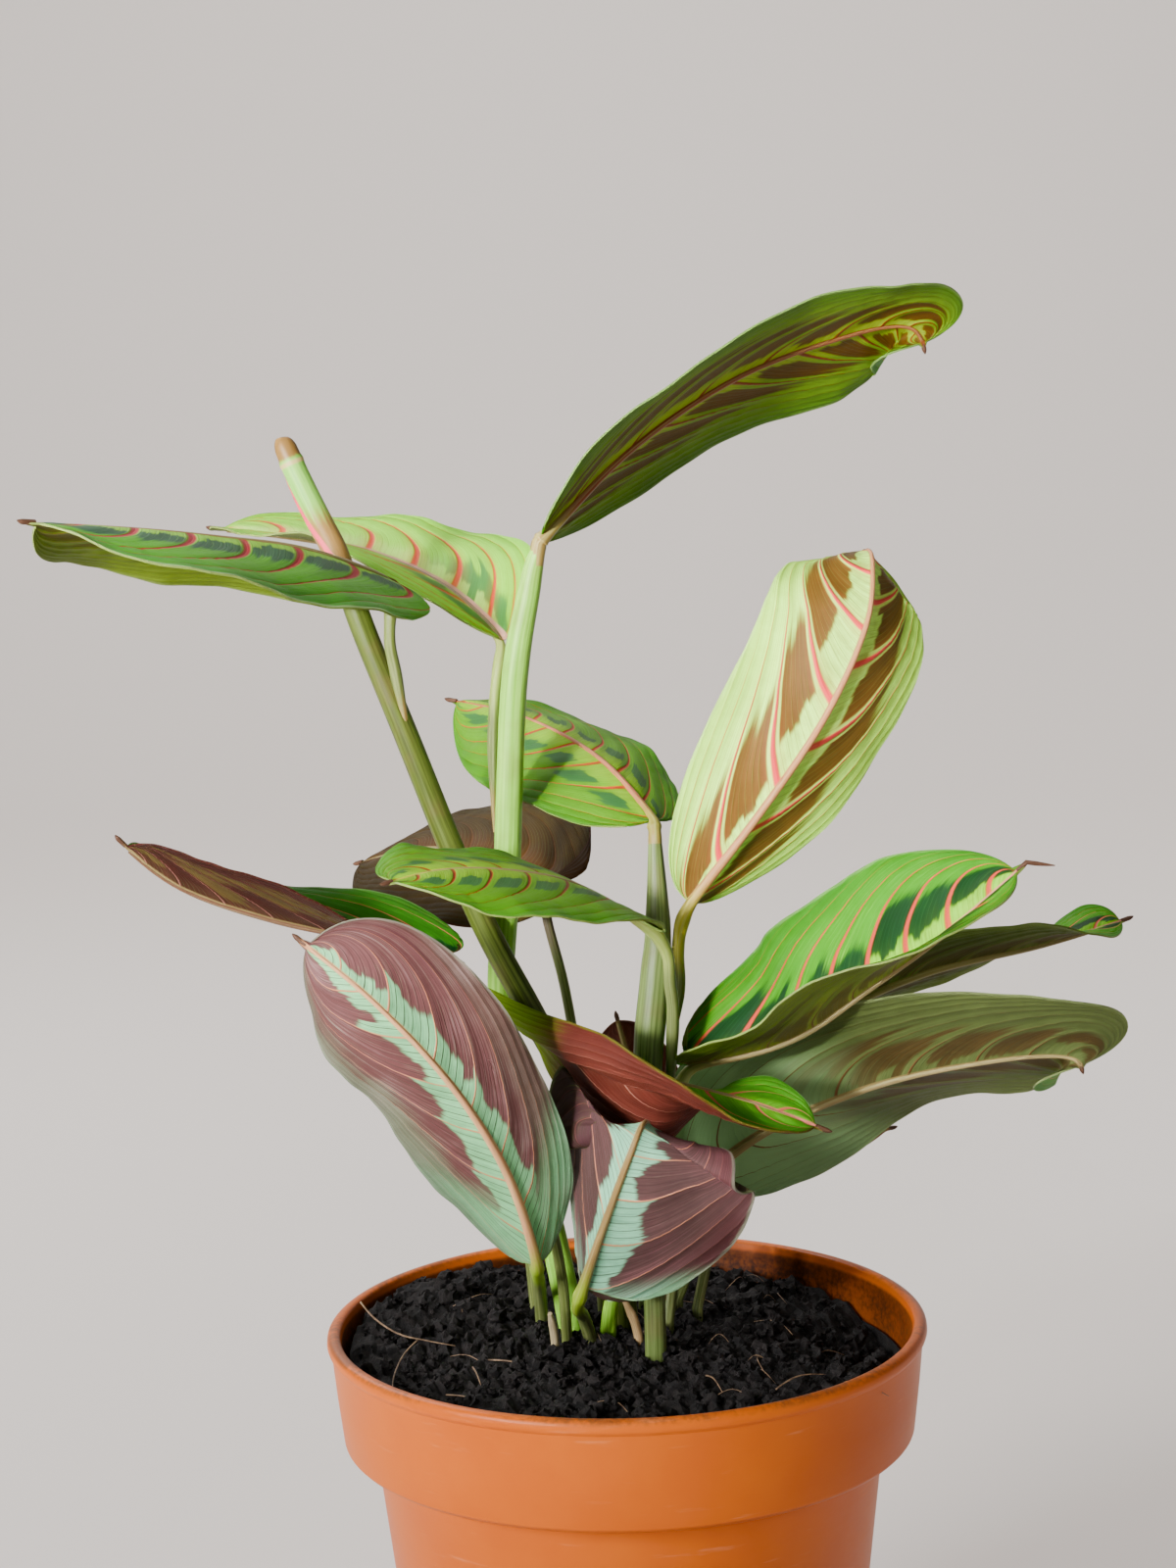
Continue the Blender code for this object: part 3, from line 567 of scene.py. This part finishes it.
def ripple(x, y, seed):
    """A gentle irregular wave between -1 and 1."""
    first = np.sin(2.1 * x + 1.3 * y + seed) + np.sin(-1.7 * x + 2.3 * y + 2.1 * seed)
    return (first + np.sin(3.9 * x + 0.7 * y + 0.6 * seed)) / 3


def blade_points(leaf, t, v):
    """Points of the blade for t along it and v from -1 to 1 across, with its low quilting between the veins."""
    middle, ahead, upper, across = frame_of(leaf, t)
    half = leaf["width"] / 2
    off = np.abs(v)
    sign = np.where(v < 0, -1.0, 1.0)

    def by_side(left, right):
        return np.where(v < 0, left, right)

    narrow = [leaf.get("narrow_" + side, leaf["narrow"]) for side in ("left", "right")]
    w = half * half_width(t, leaf["blunt"]) * (1 - by_side(*narrow) * (1 - t))
    fold = np.radians(by_side(along(leaf["left"], t), along(leaf["right"], t)))
    curl = np.radians(by_side(along(leaf["curl_left"], t), along(leaf["curl_right"], t)))
    steps = (np.arange(12) + 0.5) / 12 * off[:, None]
    angle = fold[:, None] + curl[:, None] * steps
    out = np.cos(angle).mean(1) * off * w * sign
    up = np.sin(angle).mean(1) * off * w
    edge = fold + curl * off
    # Waves in mm: the edge's, two irregular ones, the swelling between veins and the groove along the midrib
    room = np.minimum(1, w / (0.4 * half))
    seed = leaf["phase"] * 9
    wave = 0.02 * leaf["width"] * np.sin(2 * np.pi * (2.6 * t + leaf["phase"]) + by_side(1.9, 0)) * off**3
    wave += 0.30 * off**4 * ripple(t * 16, v * 2, seed) + 0.35 * ripple(t * 5, v * 4, seed + 2) * off
    phase = veins_past(full(leaf["below"]), t, off, by_side(0, 1))
    swell = np.sqrt(np.abs(np.sin(np.pi * phase))) * np.minimum(1, off / 0.15) * np.clip((1 - off) / 0.25, 0, 1)
    wave = (wave + 0.34 * swell) * room - 0.25 * np.exp(-((off * w / 1.1) ** 2))
    back = leaf["lobe"] * np.sin(0.85 * np.pi * off) * half * (1 - t) ** 5 * (1 - (1 - t) ** 40)
    slide = by_side(leaf["slant_left"], leaf["slant_right"]) * v * w - back
    points = middle + across * (out - sign * wave * np.sin(edge))[:, None] + ahead * slide[:, None]
    return points + upper * (up + wave * np.cos(edge))[:, None], off * w


def alone(piece):
    """Makes one piece the only one selected."""
    bpy.ops.object.select_all(action="DESELECT")
    piece.select_set(True)
    bpy.context.view_layer.objects.active = piece


def added(operator, **settings):
    """The piece that an operator adds, the only one selected."""
    bpy.ops.object.select_all(action="DESELECT")
    operator(**settings)
    return bpy.context.object


def placed(name, data):
    """A new object in the scene."""
    holder = bpy.data.objects.new(name, data)
    bpy.context.scene.collection.objects.link(holder)
    return holder


def dress(piece, *materials):
    """Gives the piece these materials and no others."""
    piece.data.materials.clear()
    for material in materials:
        piece.data.materials.append(material)


def distances(path):
    """How far along the path each of its points is."""
    return np.concatenate([[0], np.cumsum(np.linalg.norm(np.diff(path, axis=0), axis=1))])


def coordinates(piece):
    places = np.zeros(len(piece.data.vertices) * 3)
    piece.data.vertices.foreach_get("co", places)
    return places.reshape(-1, 3)


def set_coordinates(piece, places):
    piece.data.vertices.foreach_set("co", np.ascontiguousarray(places).ravel())
    piece.data.update()


def point_values(piece, name, kind, values):
    layer = piece.data.attributes.new(name, kind, "POINT")
    layer.data.foreach_set("value" if kind == "FLOAT" else "vector", np.ascontiguousarray(values).ravel())


def modify(piece, kind, **settings):
    """Gives the piece a modifier and applies it."""
    modifier = piece.modifiers.new(kind, kind)
    for key, value in settings.items():
        setattr(modifier, key, value)
    alone(piece)
    bpy.ops.object.modifier_apply(modifier=modifier.name)


def edit(piece, operator, **settings):
    """Runs an operator on the piece in edit mode."""
    alone(piece)
    bpy.ops.object.mode_set(mode="EDIT")
    operator(**settings)
    bpy.ops.object.mode_set(mode="OBJECT")


def merge(piece):
    """Makes one of points that lie in the same place."""
    edit(piece, bpy.ops.mesh.select_all, action="SELECT")
    edit(piece, bpy.ops.mesh.remove_doubles, threshold=1e-6)


def blade(leaf, rows, columns, skins):
    """A grid laid on the leaf's form, given its thickness. Its upper side takes the first material."""
    piece = added(bpy.ops.mesh.primitive_grid_add, x_subdivisions=columns, y_subdivisions=rows, size=2)
    flat = coordinates(piece)
    t = (1 - np.cos(np.pi * (flat[:, 1] + 1) / 2)) / 2
    v = np.sign(flat[:, 0]) * np.abs(flat[:, 0]) ** 1.15
    points, apart = blade_points(leaf, t, v)
    set_coordinates(piece, points * MM)
    layer = piece.data.uv_layers[0]
    layer.name = "leaf"
    corner = np.zeros(len(piece.data.loops), int)
    piece.data.loops.foreach_get("vertex_index", corner)
    layer.data.foreach_set("uv", np.stack([(v[corner] + 1) / 2, t[corner]], -1).ravel())
    point_values(piece, "apart", "FLOAT", apart)
    merge(piece)
    dress(piece, *skins)
    modify(piece, "SOLIDIFY", thickness=BLADE * MM, offset=0, material_offset=1, material_offset_rim=1)
    return piece


def rod(name, points, radii, sides=14, ridges=0, depth=0.0):
    """A cylinder cut into rows and laid along the points in mm, with low ridges along it."""
    path = np.array(points, float)
    rows = len(path) - 1
    piece = added(bpy.ops.mesh.primitive_cylinder_add, vertices=sides, radius=1, depth=2, end_fill_type="NGON")
    piece.name = name
    bpy.context.tool_settings.mesh_select_mode = (False, True, False)
    edit(piece, bpy.ops.mesh.select_all, action="DESELECT")
    height = [vertex.co.z for vertex in piece.data.vertices]
    upright = [abs(height[edge.vertices[0]] - height[edge.vertices[1]]) > 1 for edge in piece.data.edges]
    piece.data.edges.foreach_set("select", upright)
    edit(piece, bpy.ops.mesh.subdivide, number_cuts=rows - 1)
    straight = coordinates(piece)
    row = np.clip(np.round((straight[:, 2] + 1) / 2 * rows).astype(int), 0, rows)
    turn = np.arctan2(straight[:, 1], straight[:, 0])
    ahead = unit(np.gradient(path, axis=0))
    side = np.zeros_like(path)
    start = np.array([0.0, -1.0, 0.0]) if abs(ahead[0][1]) < 0.9 else np.array([1.0, 0.0, 0.0])
    for i in range(len(path)):
        start = unit(start - ahead[i] * (start @ ahead[i]))
        side[i] = start
    other = np.cross(ahead, side)
    radius = np.interp(np.linspace(0, 1, len(path)), np.linspace(0, 1, len(radii)), radii)[row]
    radius = radius * (1 + depth * np.cos(ridges * turn))
    x, y = np.cos(turn), np.sin(turn)
    away = side[row] * (radius * x)[:, None] + other[row] * (radius * y)[:, None]
    set_coordinates(piece, (path[row] + away) * MM)
    point_values(piece, "round", "FLOAT_VECTOR", np.stack([x, y, distances(path)[row]], -1))
    return piece


def join(first, *others):
    """Makes one piece of several."""
    alone(first)
    for other in others:
        other.select_set(True)
    bpy.ops.object.join()
    return first


def soften(piece, angle):
    """Shades the piece smooth, except where faces meet at more than the angle in degrees."""
    alone(piece)
    bpy.ops.object.shade_smooth_by_angle(angle=math.radians(angle))


def petiole(leaf, end):
    """Points and radii from the soil, or from the stem that carries the leaf, to the blade."""
    stalk = leaf["petiole"] + [tuple(end)]
    thick = leaf["thick"]
    top = thick * 0.85
    if "foot" in leaf:
        radii = np.interp(np.linspace(0, 1, 30), [0, 0.35, 1], [leaf["foot_radius"], thick, top])
        return curve(leaf["foot"] + stalk, 30), radii
    path = rooted(stalk, 30)
    return path, np.linspace(thick, top, len(path))


def rib_and_petiole(leaf):
    """One rod under the blade, swollen and eased where the petiole meets it."""
    t = np.linspace(0, 0.95, RIB_STEPS)
    middle, _, upper, _ = frame_of(leaf, t)
    under = middle - upper * BLADE
    path, thickness = petiole(leaf, under[0])
    joint = len(path)
    whole = np.vstack([path[:-1], under])
    bend = whole[joint - 5 : joint + 4]
    for _ in range(4):
        bend[1:-1] = (bend[:-2] + 2 * bend[1:-1] + bend[2:]) / 4
    thin = np.interp(t, [0, 0.15, 1], [leaf["thick"] * 0.78, 0.85, 0.3])
    radii = np.concatenate([thickness[:-1], thin])
    radii[joint - 10 : joint] *= 1 + 0.22 * np.hanning(10)
    bar = rod(leaf["name"] + "_rib", whole, radii, 12)
    dress(bar, petiole_paint(leaf, whole))
    return bar


def dry_tip(leaf):
    """The thread-like tip, bent a little upwards."""
    end, course, above, _ = frame_of(leaf, np.array([0.97, 1.0]))
    reach = np.array(leaf.get("tip", course[1] * 1.3))
    curl = [end[1] + reach * s + above[1] * 0.2 * s * s for s in (0, 0.33, 0.66, 1)]
    tip = rod(leaf["name"] + "_tip", [end[0]] + curl, [0.5, 0.55, 0.5, 0.35, 0.12], 8)
    dress(tip, dry_paint)
    return tip


def leaf_piece(leaf, number):
    name = leaf["name"]
    skins = [
        leaf_paint(name + "_above", leaf["above"], number * 1.7),
        leaf_paint(name + "_below", leaf["below"], number * 1.7 + 0.9),
    ]
    rows, columns = (60, 26) if leaf["width"] < 25 else (116, 40)
    piece = blade(leaf, rows, columns, skins)
    piece.name = name + "_fine"
    rods = [rib_and_petiole(leaf), dry_tip(leaf)]
    for part in rods:
        point_values(part, "apart", "FLOAT", np.zeros(len(part.data.vertices)))
    join(piece, *rods)
    soften(piece, 60)
    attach(piece, "root")
    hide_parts(name)


def turned(name, profile, steps):
    """A profile of (radius, height) in mm, from the outside foot round to the inside, turned about the middle."""
    points = np.array(profile, float)
    piece = rod(name, [(0, 0, z) for z in range(len(points))], [1], steps)
    flat = coordinates(piece)
    row = np.round(flat[:, 2] / MM).astype(int)
    turn = np.arctan2(flat[:, 1], flat[:, 0])
    radius = points[row, 0]
    set_coordinates(piece, np.stack([radius * np.cos(turn), radius * np.sin(turn), points[row, 1]], -1) * MM)
    merge(piece)
    return piece


# ---- pot and soil

RIM_RADIUS = 65.0
STEP = 90.5  # the collar's lower edge
BODY_TOP_RADIUS = 55.4
BASE_RADIUS = 45.0
WALL = 1.6
SOIL_RADIUS = 62 - WALL - 0.5
SOIL_TOP = 108.6
CRUMBS = 1900


def pot_paint():
    """Satin plastic with faint scuffs, soil smears, and painted shade on the inner wall. Places on it are in
    metres.
    """
    paint = Paint("pot_satin", 0.45, IOR=1.46, Specular_IOR_Level=0.22)
    place = paint.place()
    x, y, z = paint.split(place)
    cloud = paint.noise(place, 28.0, 4.0)
    scuff = paint.noise(paint.vector(x * 0.25, y * 0.25, z * 2.2), 260.0, 3.0)
    grain = paint.noise(place, 900.0, 2.0)
    paint.ground(cloud.rise(0.3, 0.7), "c65a04", "d06408")
    paint.lay(scuff.rise(0.62, 0.78) * 0.35, "e29468")
    # Painted shade: the inner wall above the soil is painted a darker orange-brown.
    inner = (x * x + y * y).math("SQRT").rise(0.06195, 0.0618) * z.rise(0.088, 0.1)
    paint.lay(inner * 0.8, "6a3410")
    paint.lay(inner * (cloud + grain * 0.5).rise(0.52, 0.8) * z.rise(0.1175, 0.109) * 0.85, "241810")
    paint.lay(z.rise(0.1135, 0.1148) * (cloud + grain * 0.4).rise(0.58, 0.82) * 0.7, "4a3426")
    roughness = 0.34 + cloud * 0.12 + scuff.rise(0.6, 0.8) * 0.15
    return paint.done(roughness, cloud * 0.4 + grain * 0.12 + scuff * 0.2, 0.25, 0.0005)


def make_pot():
    profile = [(0, 0), (17, 0), (18.5, 2), (BASE_RADIUS - 5, 2), (BASE_RADIUS - 4, 0), (BASE_RADIUS - 0.8, 0)]
    profile += [(BASE_RADIUS, 1), (BASE_RADIUS + 5.2, 45.7), (BODY_TOP_RADIUS, STEP), (61, STEP), (62, STEP + 1)]
    profile += [(63.2, 102), (64.1, 111.7), (64.75, 112.2), (65, 113), (64.9, 114.1), (64.3, 114.8), (63.4, 115)]
    profile += [(62.6, 114.9), (RIM_RADIUS - 2.9, 114.4), (61.75, 112), (60.4, STEP + 3)]
    profile += [(BODY_TOP_RADIUS - WALL, STEP + 1.5), (BASE_RADIUS - 1.3, 4.4), (0, 4.4)]
    pot = turned("pot_fine", profile, 144)
    modify(pot, "BEVEL", width=0.35 * MM, segments=2, limit_method="ANGLE", angle_limit=math.radians(35))
    for angle in np.radians([0, 60, 120, 180, 240, 300]):
        spot = (30 * MM * np.cos(angle), 30 * MM * np.sin(angle), 3 * MM)
        size = dict(vertices=24, radius=4.5 * MM, depth=12 * MM)
        drill = added(bpy.ops.mesh.primitive_cylinder_add, location=spot, **size)
        modify(pot, "BOOLEAN", operation="DIFFERENCE", solver="EXACT", object=drill)
        bpy.data.objects.remove(drill)
    dress(pot, pot_paint())
    soften(pot, 40)
    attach(pot, "root")
    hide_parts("pot")


def soil_height(x, y):
    """The top of the soil in mm, dipping beside the right wall and heaped against the left."""
    r = np.hypot(x, y)
    dip = 8 * np.exp(-((x - 58) ** 2 + (y - 10) ** 2) / (2 * 15.0**2))
    heap = 5.4 * np.exp(-((x + 44) ** 2 + (y - 28) ** 2) / (2 * 24.0**2))
    lumps = 0.7 * np.sin(0.31 * x + 0.9) * np.cos(0.27 * y) + 0.5 * np.sin(0.53 * x - 0.41 * y)
    return SOIL_TOP + 1.6 * (1 - (r / 60) ** 2) + heap - dip + lumps * np.clip(r / 25, 0, 1)


def soil_paint():
    paint = Paint("soil_dark", 0.85, IOR=1.35)
    lump = paint.noise(paint.place(), 420.0, 4.0)
    grain = paint.noise(paint.place(), 1500.0, 3.0)
    paint.ground(lump.rise(0.35, 0.7), "0b0909", "1e1918")
    paint.lay(grain.rise(0.68, 0.78) * 0.35, "4c4440")
    return paint.done(0.75 + grain * 0.25, lump * 0.6 + grain * 0.4, 0.8, 0.0008)


def random_spot(random, reach):
    """A point in a disc about the pot's middle."""
    r = reach * math.sqrt(random.random())
    angle = random.random() * 2 * math.pi
    return r * math.cos(angle), r * math.sin(angle)


def make_soil(random):
    widest = SOIL_RADIUS + 0.3
    rings = [(0, 4.7), (43.5, 4.7), (53.3, STEP + 2), (SOIL_RADIUS - 0.4, STEP + 4), (widest, 104)]
    rings += [(r, 108) for r in np.linspace(widest, 0, 74)]
    soil = turned("soil_fine", rings, 190)
    places = coordinates(soil) / MM
    top = places[:, 2] > 107
    x, y = places[top, 0], places[top, 1]
    rough = 0.9 * ripple(x * 0.55, y * 0.55, 1) + 0.75 * ripple(x * 1.3, y * 1.2, 4)
    places[top, 2] = soil_height(x, y) - 0.4 + rough + 0.5 * ripple(y * 2.6, x * 2.5, 7)
    places[top] += random.normal(0, 0.16, (top.sum(), 3))
    far = np.hypot(places[:, 0], places[:, 1])
    over = far > widest
    places[over, :2] *= (widest / far[over])[:, None]
    set_coordinates(soil, places * MM)
    crumbs = []
    for _ in range(5):
        crumb = added(bpy.ops.mesh.primitive_ico_sphere_add, subdivisions=2, radius=1)
        shape = coordinates(crumb)
        shape *= 1 + 0.3 * random.normal(0, 1, (len(shape), 1)).clip(-1.6, 1.6)
        set_coordinates(crumb, shape)
        crumbs.append(crumb)
    heap = []
    for number in range(CRUMBS):
        x, y = random_spot(random, SOIL_RADIUS * 0.99)
        size = 0.3 + 1.9 * random.random() ** 4
        inwards = 1 - size / SOIL_RADIUS
        x, y = x * inwards, y * inwards
        turn = Matrix.Rotation(random.random() * 6.28, 4, Vector(random.normal(0, 1, 3)))
        stretch = Matrix.Diagonal((size, size * (0.6 + 0.5 * random.random()), size * 0.75, 1))
        lift = Matrix.Translation((x, y, float(soil_height(x, y)) + size * 0.1 + 0.1))
        copy = placed("crumb", crumbs[number % len(crumbs)].data.copy())
        copy.data.transform(Matrix.Scale(MM, 4) @ lift @ turn @ stretch)
        heap.append(copy)
    for crumb in crumbs:
        bpy.data.objects.remove(crumb)
    join(soil, *heap)
    dress(soil, soil_paint())
    soften(soil, 35)
    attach(soil, "root")
    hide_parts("soil")


# ---- stems

# Name, the colours of its streaks, radii spread evenly along it, and points. leaf_rolled has its own colours.
STEMS = [
    ("stem_left", ("343e0e", "586624"), [2.7, 2.7, 2.7, 2.7, 2.7, 2.7, 2.6, 2.6, 2.5],
     [(0, 10, 112), (-3, 6.5, 138), (-9, 1, 163), (-18, -2, 183), (-29, -2.5, 206), (-43, -4, 245),
      (-51, -3.5, 267), (-54, -2.5, 277)]),
    ("stem_tall", ("70a82a", "9cd452"), [2.9, 2.9, 2.9, 2.9, 2.9, 2.9, 2.8, 2.3, 1.6],
     [(-12, 5, 112), (-16, 6, 135), (-22, 6, 160), (-25, 5, 185), (-23, 4, 211), (-20, 2, 253),
      (-16, 1, 274), (-14, 0, 282)]),
    ("stem_right", ("4a5a28", "7e9250"), [2.3, 2.3, 2.9, 3.3, 3.1, 2.7, 1.5],
     [(6, -12, 112), (6, -10, 145), (6, -8, 172), (8, -6, 191), (9, -4, 201), (9, 0, 219)]),
    ("leaf_rolled", None, [2.5, 2.7, 2.7, 2.6, 2.4, 1.4],
     [(-54.2, -2.4, 277.7), (-56.6, -1.8, 284), (-60, -1.3, 291), (-63.6, -0.8, 299), (-66, -0.3, 305),
      (-66.6, 0, 307)]),
    ("shoot_green", ("6fae1e", "a4d84a"), [1.75, 1.75, 1.5, 0.7],
     [(-4, 2, 112), (-3.2, 1, 118), (-2, -1, 125)]),
    ("sheath_dry", ("9a7a50", "c4a678"), [1.0, 1.0, 1.0, 0.5],
     [(2.5, -3, 111.5), (1.6, -3.3, 115.5), (-0.4, -3, 120)]),
    ("sheath_papery", ("8a7a58", "c8b890"), [0.9, 0.9, 0.9, 0.5],
     [(-15.5, -8, 111.5), (-15.8, -9, 116), (-16.4, -11, 120)]),
]


SPIRAL = 0.012  # turns that the rolled leaf's edge makes in a millimetre


def roll_up(piece, path):
    """Turns a rod into a rolled sheet: one edge lies on the other along a slow spiral, with a ring near its tip."""
    places = coordinates(piece) / MM
    away = places[:, None] - path[None]
    nearest = (away**2).sum(-1).argmin(1)
    values = np.zeros(len(places) * 3)
    piece.data.attributes["round"].data.foreach_get("vector", values)
    x, y, s = values.reshape(-1, 3).T
    turn = (np.arctan2(y, x) / (2 * np.pi) + s * SPIRAL) % 1
    grow = (1 + 0.13 * (turn - 0.5)) * (1 + 0.10 * np.exp(-(((s - 26.5) / 0.7) ** 2)))
    places = path[nearest] + away[np.arange(len(places)), nearest] * grow[:, None]
    set_coordinates(piece, places * MM)


def rolled_paint():
    """Pale green with a pink seam, pinkish brown at its foot and dry at its tip."""
    paint, x, y, s, streak = stalk_start("leaf_rolled_skin", 0.42, 4.0, 0.06, 0)
    seam, second = [abs((y.turned(x) + s * SPIRAL + shift).fraction() * 2 - 1) for shift in (1.0, 1.32)]
    paint.ground(streak.rise(0.3, 0.7), "6cb038", "94cc54")
    paint.lay((s + streak * 8).rise(22, 15) * 0.85, "8c5034")
    paint.lay(second.rise(0.86, 0.98) * 0.5, "a8785a")
    paint.lay(seam.rise(0.9, 0.97), "e04058")
    paint.lay((s + streak * 1.5).rise(27.6, 28.6), "7c5c2c")
    paint.lay(abs(s - 26.3).rise(0.7, 0.2) * 0.8, "c8a070")
    return paint.done(None, streak, 0.4, 0.0003)


def make_stems():
    for number, (name, colours, radii, points) in enumerate(STEMS):
        if name == "leaf_rolled":
            path = curve(points, 30)
            stem = rod(name + "_fine", path, radii, 36, 9, 0.004)
            roll_up(stem, path)
            dress(stem, rolled_paint())
        else:
            stem = rod(name + "_fine", rooted(points, 60), radii, 36, 9, 0.012)
            dress(stem, stem_paint(name + "_skin", *colours, number * 3.1))
        soften(stem, 60)
        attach(stem, "root")
        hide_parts(name)


# Roots that lie on the soil, the first of which reaches up beside the rim: points, and the radius.
ROOTS = [
    ([(-57.5, -2, 121), (-54, -4, 117.5), (-49, -6, 114.8), (-43, -7, 113.5), (-37, -8, 112.5)], 0.2),
    ([(-45, -7, 113.8), (-48, -12, 112), (-49.5, -22, 110.5), (-49, -30, 109.2)], 0.17),
    ([(-30, -14, 111.2), (-25, -16, 111.4), (-21, -18, 110.6)], 0.17),
    ([(-33, -17, 110.8), (-32, -22, 111), (-31, -26, 109.8)], 0.16),
    ([(-38, -32, 110), (-34, -35, 110.6), (-30, -36, 109.6)], 0.16),
    ([(30, -36, 110.5), (35, -32, 111.8), (41, -28, 110.6)], 0.17),
    ([(46, -34, 109.8), (50, -37, 110.2), (53, -38, 109)], 0.16),
    ([(16, -27, 110.8), (17.5, -31, 111.4), (19, -36, 110.2)], 0.16),
]


def make_roots(random):
    paint = Paint("root_tan", 0.6)
    spots = paint.noise(paint.place(), 500.0, 2.0)
    paint.ground(spots.rise(0.3, 0.7), "5c4430", "96785a")
    paint.feed("Base Color", paint.colour)
    pieces = [rod("root", curve(points, 22), [r, r, r * 0.8, r * 0.4], 7) for points, r in ROOTS]
    for _ in range(26):
        x, y = random_spot(random, 56)
        way = random.random() * 2 * math.pi
        reach = 2 + 5 * random.random()
        middle = float(soil_height(x, y))
        arc = [
            (x - reach * math.cos(way), y - reach * math.sin(way), middle - 0.3),
            (x, y, middle + 0.8 + random.random()),
            (x + reach * math.cos(way + 0.5), y + reach * math.sin(way + 0.5), middle - 0.3),
        ]
        arc = [(px, py, pz) if math.hypot(px, py) < 59 else (px * 0.85, py * 0.85, pz) for px, py, pz in arc]
        pieces.append(rod("root", curve(arc, 9), [0.08, 0.1, 0.05], 5))
    roots = join(pieces[0], *pieces[1:])
    roots.name = "fine_roots"
    dress(roots, paint.material)
    soften(roots, 180)
    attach(roots, "root")


# ---- studio


# In metres: how far behind the plant the floor stays level, and the radius in which it rises to the backdrop.
LEVEL, BEND = 1.6, 0.9


def area_lamp(name, spot, size, power, spread=180):
    lamp = bpy.data.lights.new(name, "AREA")
    lamp.size = size
    lamp.energy = power
    lamp.spread = math.radians(spread)
    holder = placed(name, lamp)
    holder.location = spot
    return holder


def make_studio():
    floor = added(bpy.ops.mesh.primitive_grid_add, x_subdivisions=1, y_subdivisions=60, size=2)
    floor.name = "floor"
    flat = coordinates(floor)
    run = (flat[:, 1] + 1) * 4.5 - 3
    bent = np.clip((run - LEVEL) / BEND, 0, math.pi / 2)
    wall = np.maximum(run - LEVEL - BEND * math.pi / 2, 0)
    depth = np.minimum(run, LEVEL) + BEND * np.sin(bent)
    set_coordinates(floor, np.stack([flat[:, 0] * 5, depth, BEND - BEND * np.cos(bent) + wall], -1))
    soften(floor, 60)
    dress(floor, Paint("floor_pale", 0.95, Base_Color=tint("dad2cc")).material)
    world = bpy.data.worlds.new("studio")
    bpy.context.scene.world = world
    world.use_nodes = True
    light = world.node_tree.nodes["Background"].inputs
    light["Color"].default_value = tint("dcd3ce")
    light["Strength"].default_value = 0.14
    # Each lamp aims at this height on the pot's axis, except the one for the backdrop
    for name, spot, size, power, height, spread in [
        ("key", (-0.85, -0.8, 0.55), 0.4, 22.0, 0.19, 180),
        ("upper", (-0.55, -0.9, 0.44), 0.12, 0.8, 0.31, 24),
        ("fill", (0.9, -0.7, 0.5), 0.9, 1.2, 0.19, 180),
        ("back", (-0.5, 0.7, 0.9), 0.5, 6.0, 0.19, 180),
    ]:
        holder = area_lamp(name, spot, size, power, spread)
        holder.rotation_euler = (Vector((0, 0, height)) - Vector(spot)).to_track_quat("-Z", "Y").to_euler()
    area_lamp("backdrop", (0, 0.9, 2.4), 1.6, 80.0).rotation_euler = (math.radians(50), 0, 0)


def make_camera():
    """The camera at the photograph's angle."""
    spot, pitch, roll = Vector((-4.9, -618.41, 314.49)) * MM, 0.1321, -0.0297
    right = Vector((1, 0, 0))
    ahead = Vector((0, math.cos(pitch), -math.sin(pitch)))
    up = Vector((0, math.sin(pitch), math.cos(pitch)))
    across = right * math.cos(roll) + up * math.sin(roll)
    upright = up * math.cos(roll) - right * math.sin(roll)
    camera = bpy.data.cameras.new("camera")
    camera.sensor_width = 36
    camera.lens = 67.5
    camera.clip_start = 0.01
    holder = placed("camera", camera)
    turn = Matrix((across, upright, -ahead)).transposed().to_4x4()
    holder.matrix_world = Matrix.Translation(spot) @ turn
    bpy.context.scene.camera = holder


random = np.random.default_rng(7)
dry_paint = Paint("dry_tip", 0.7, Base_Color=tint("4a2a12")).material
make_pot()
make_soil(random)
for number, (name, leaf) in enumerate(LEAVES.items()):
    leaf_piece({**PLAIN, **leaf, "name": name, "phase": 0.37 * number}, number)
make_stems()
make_roots(random)
make_studio()
make_camera()
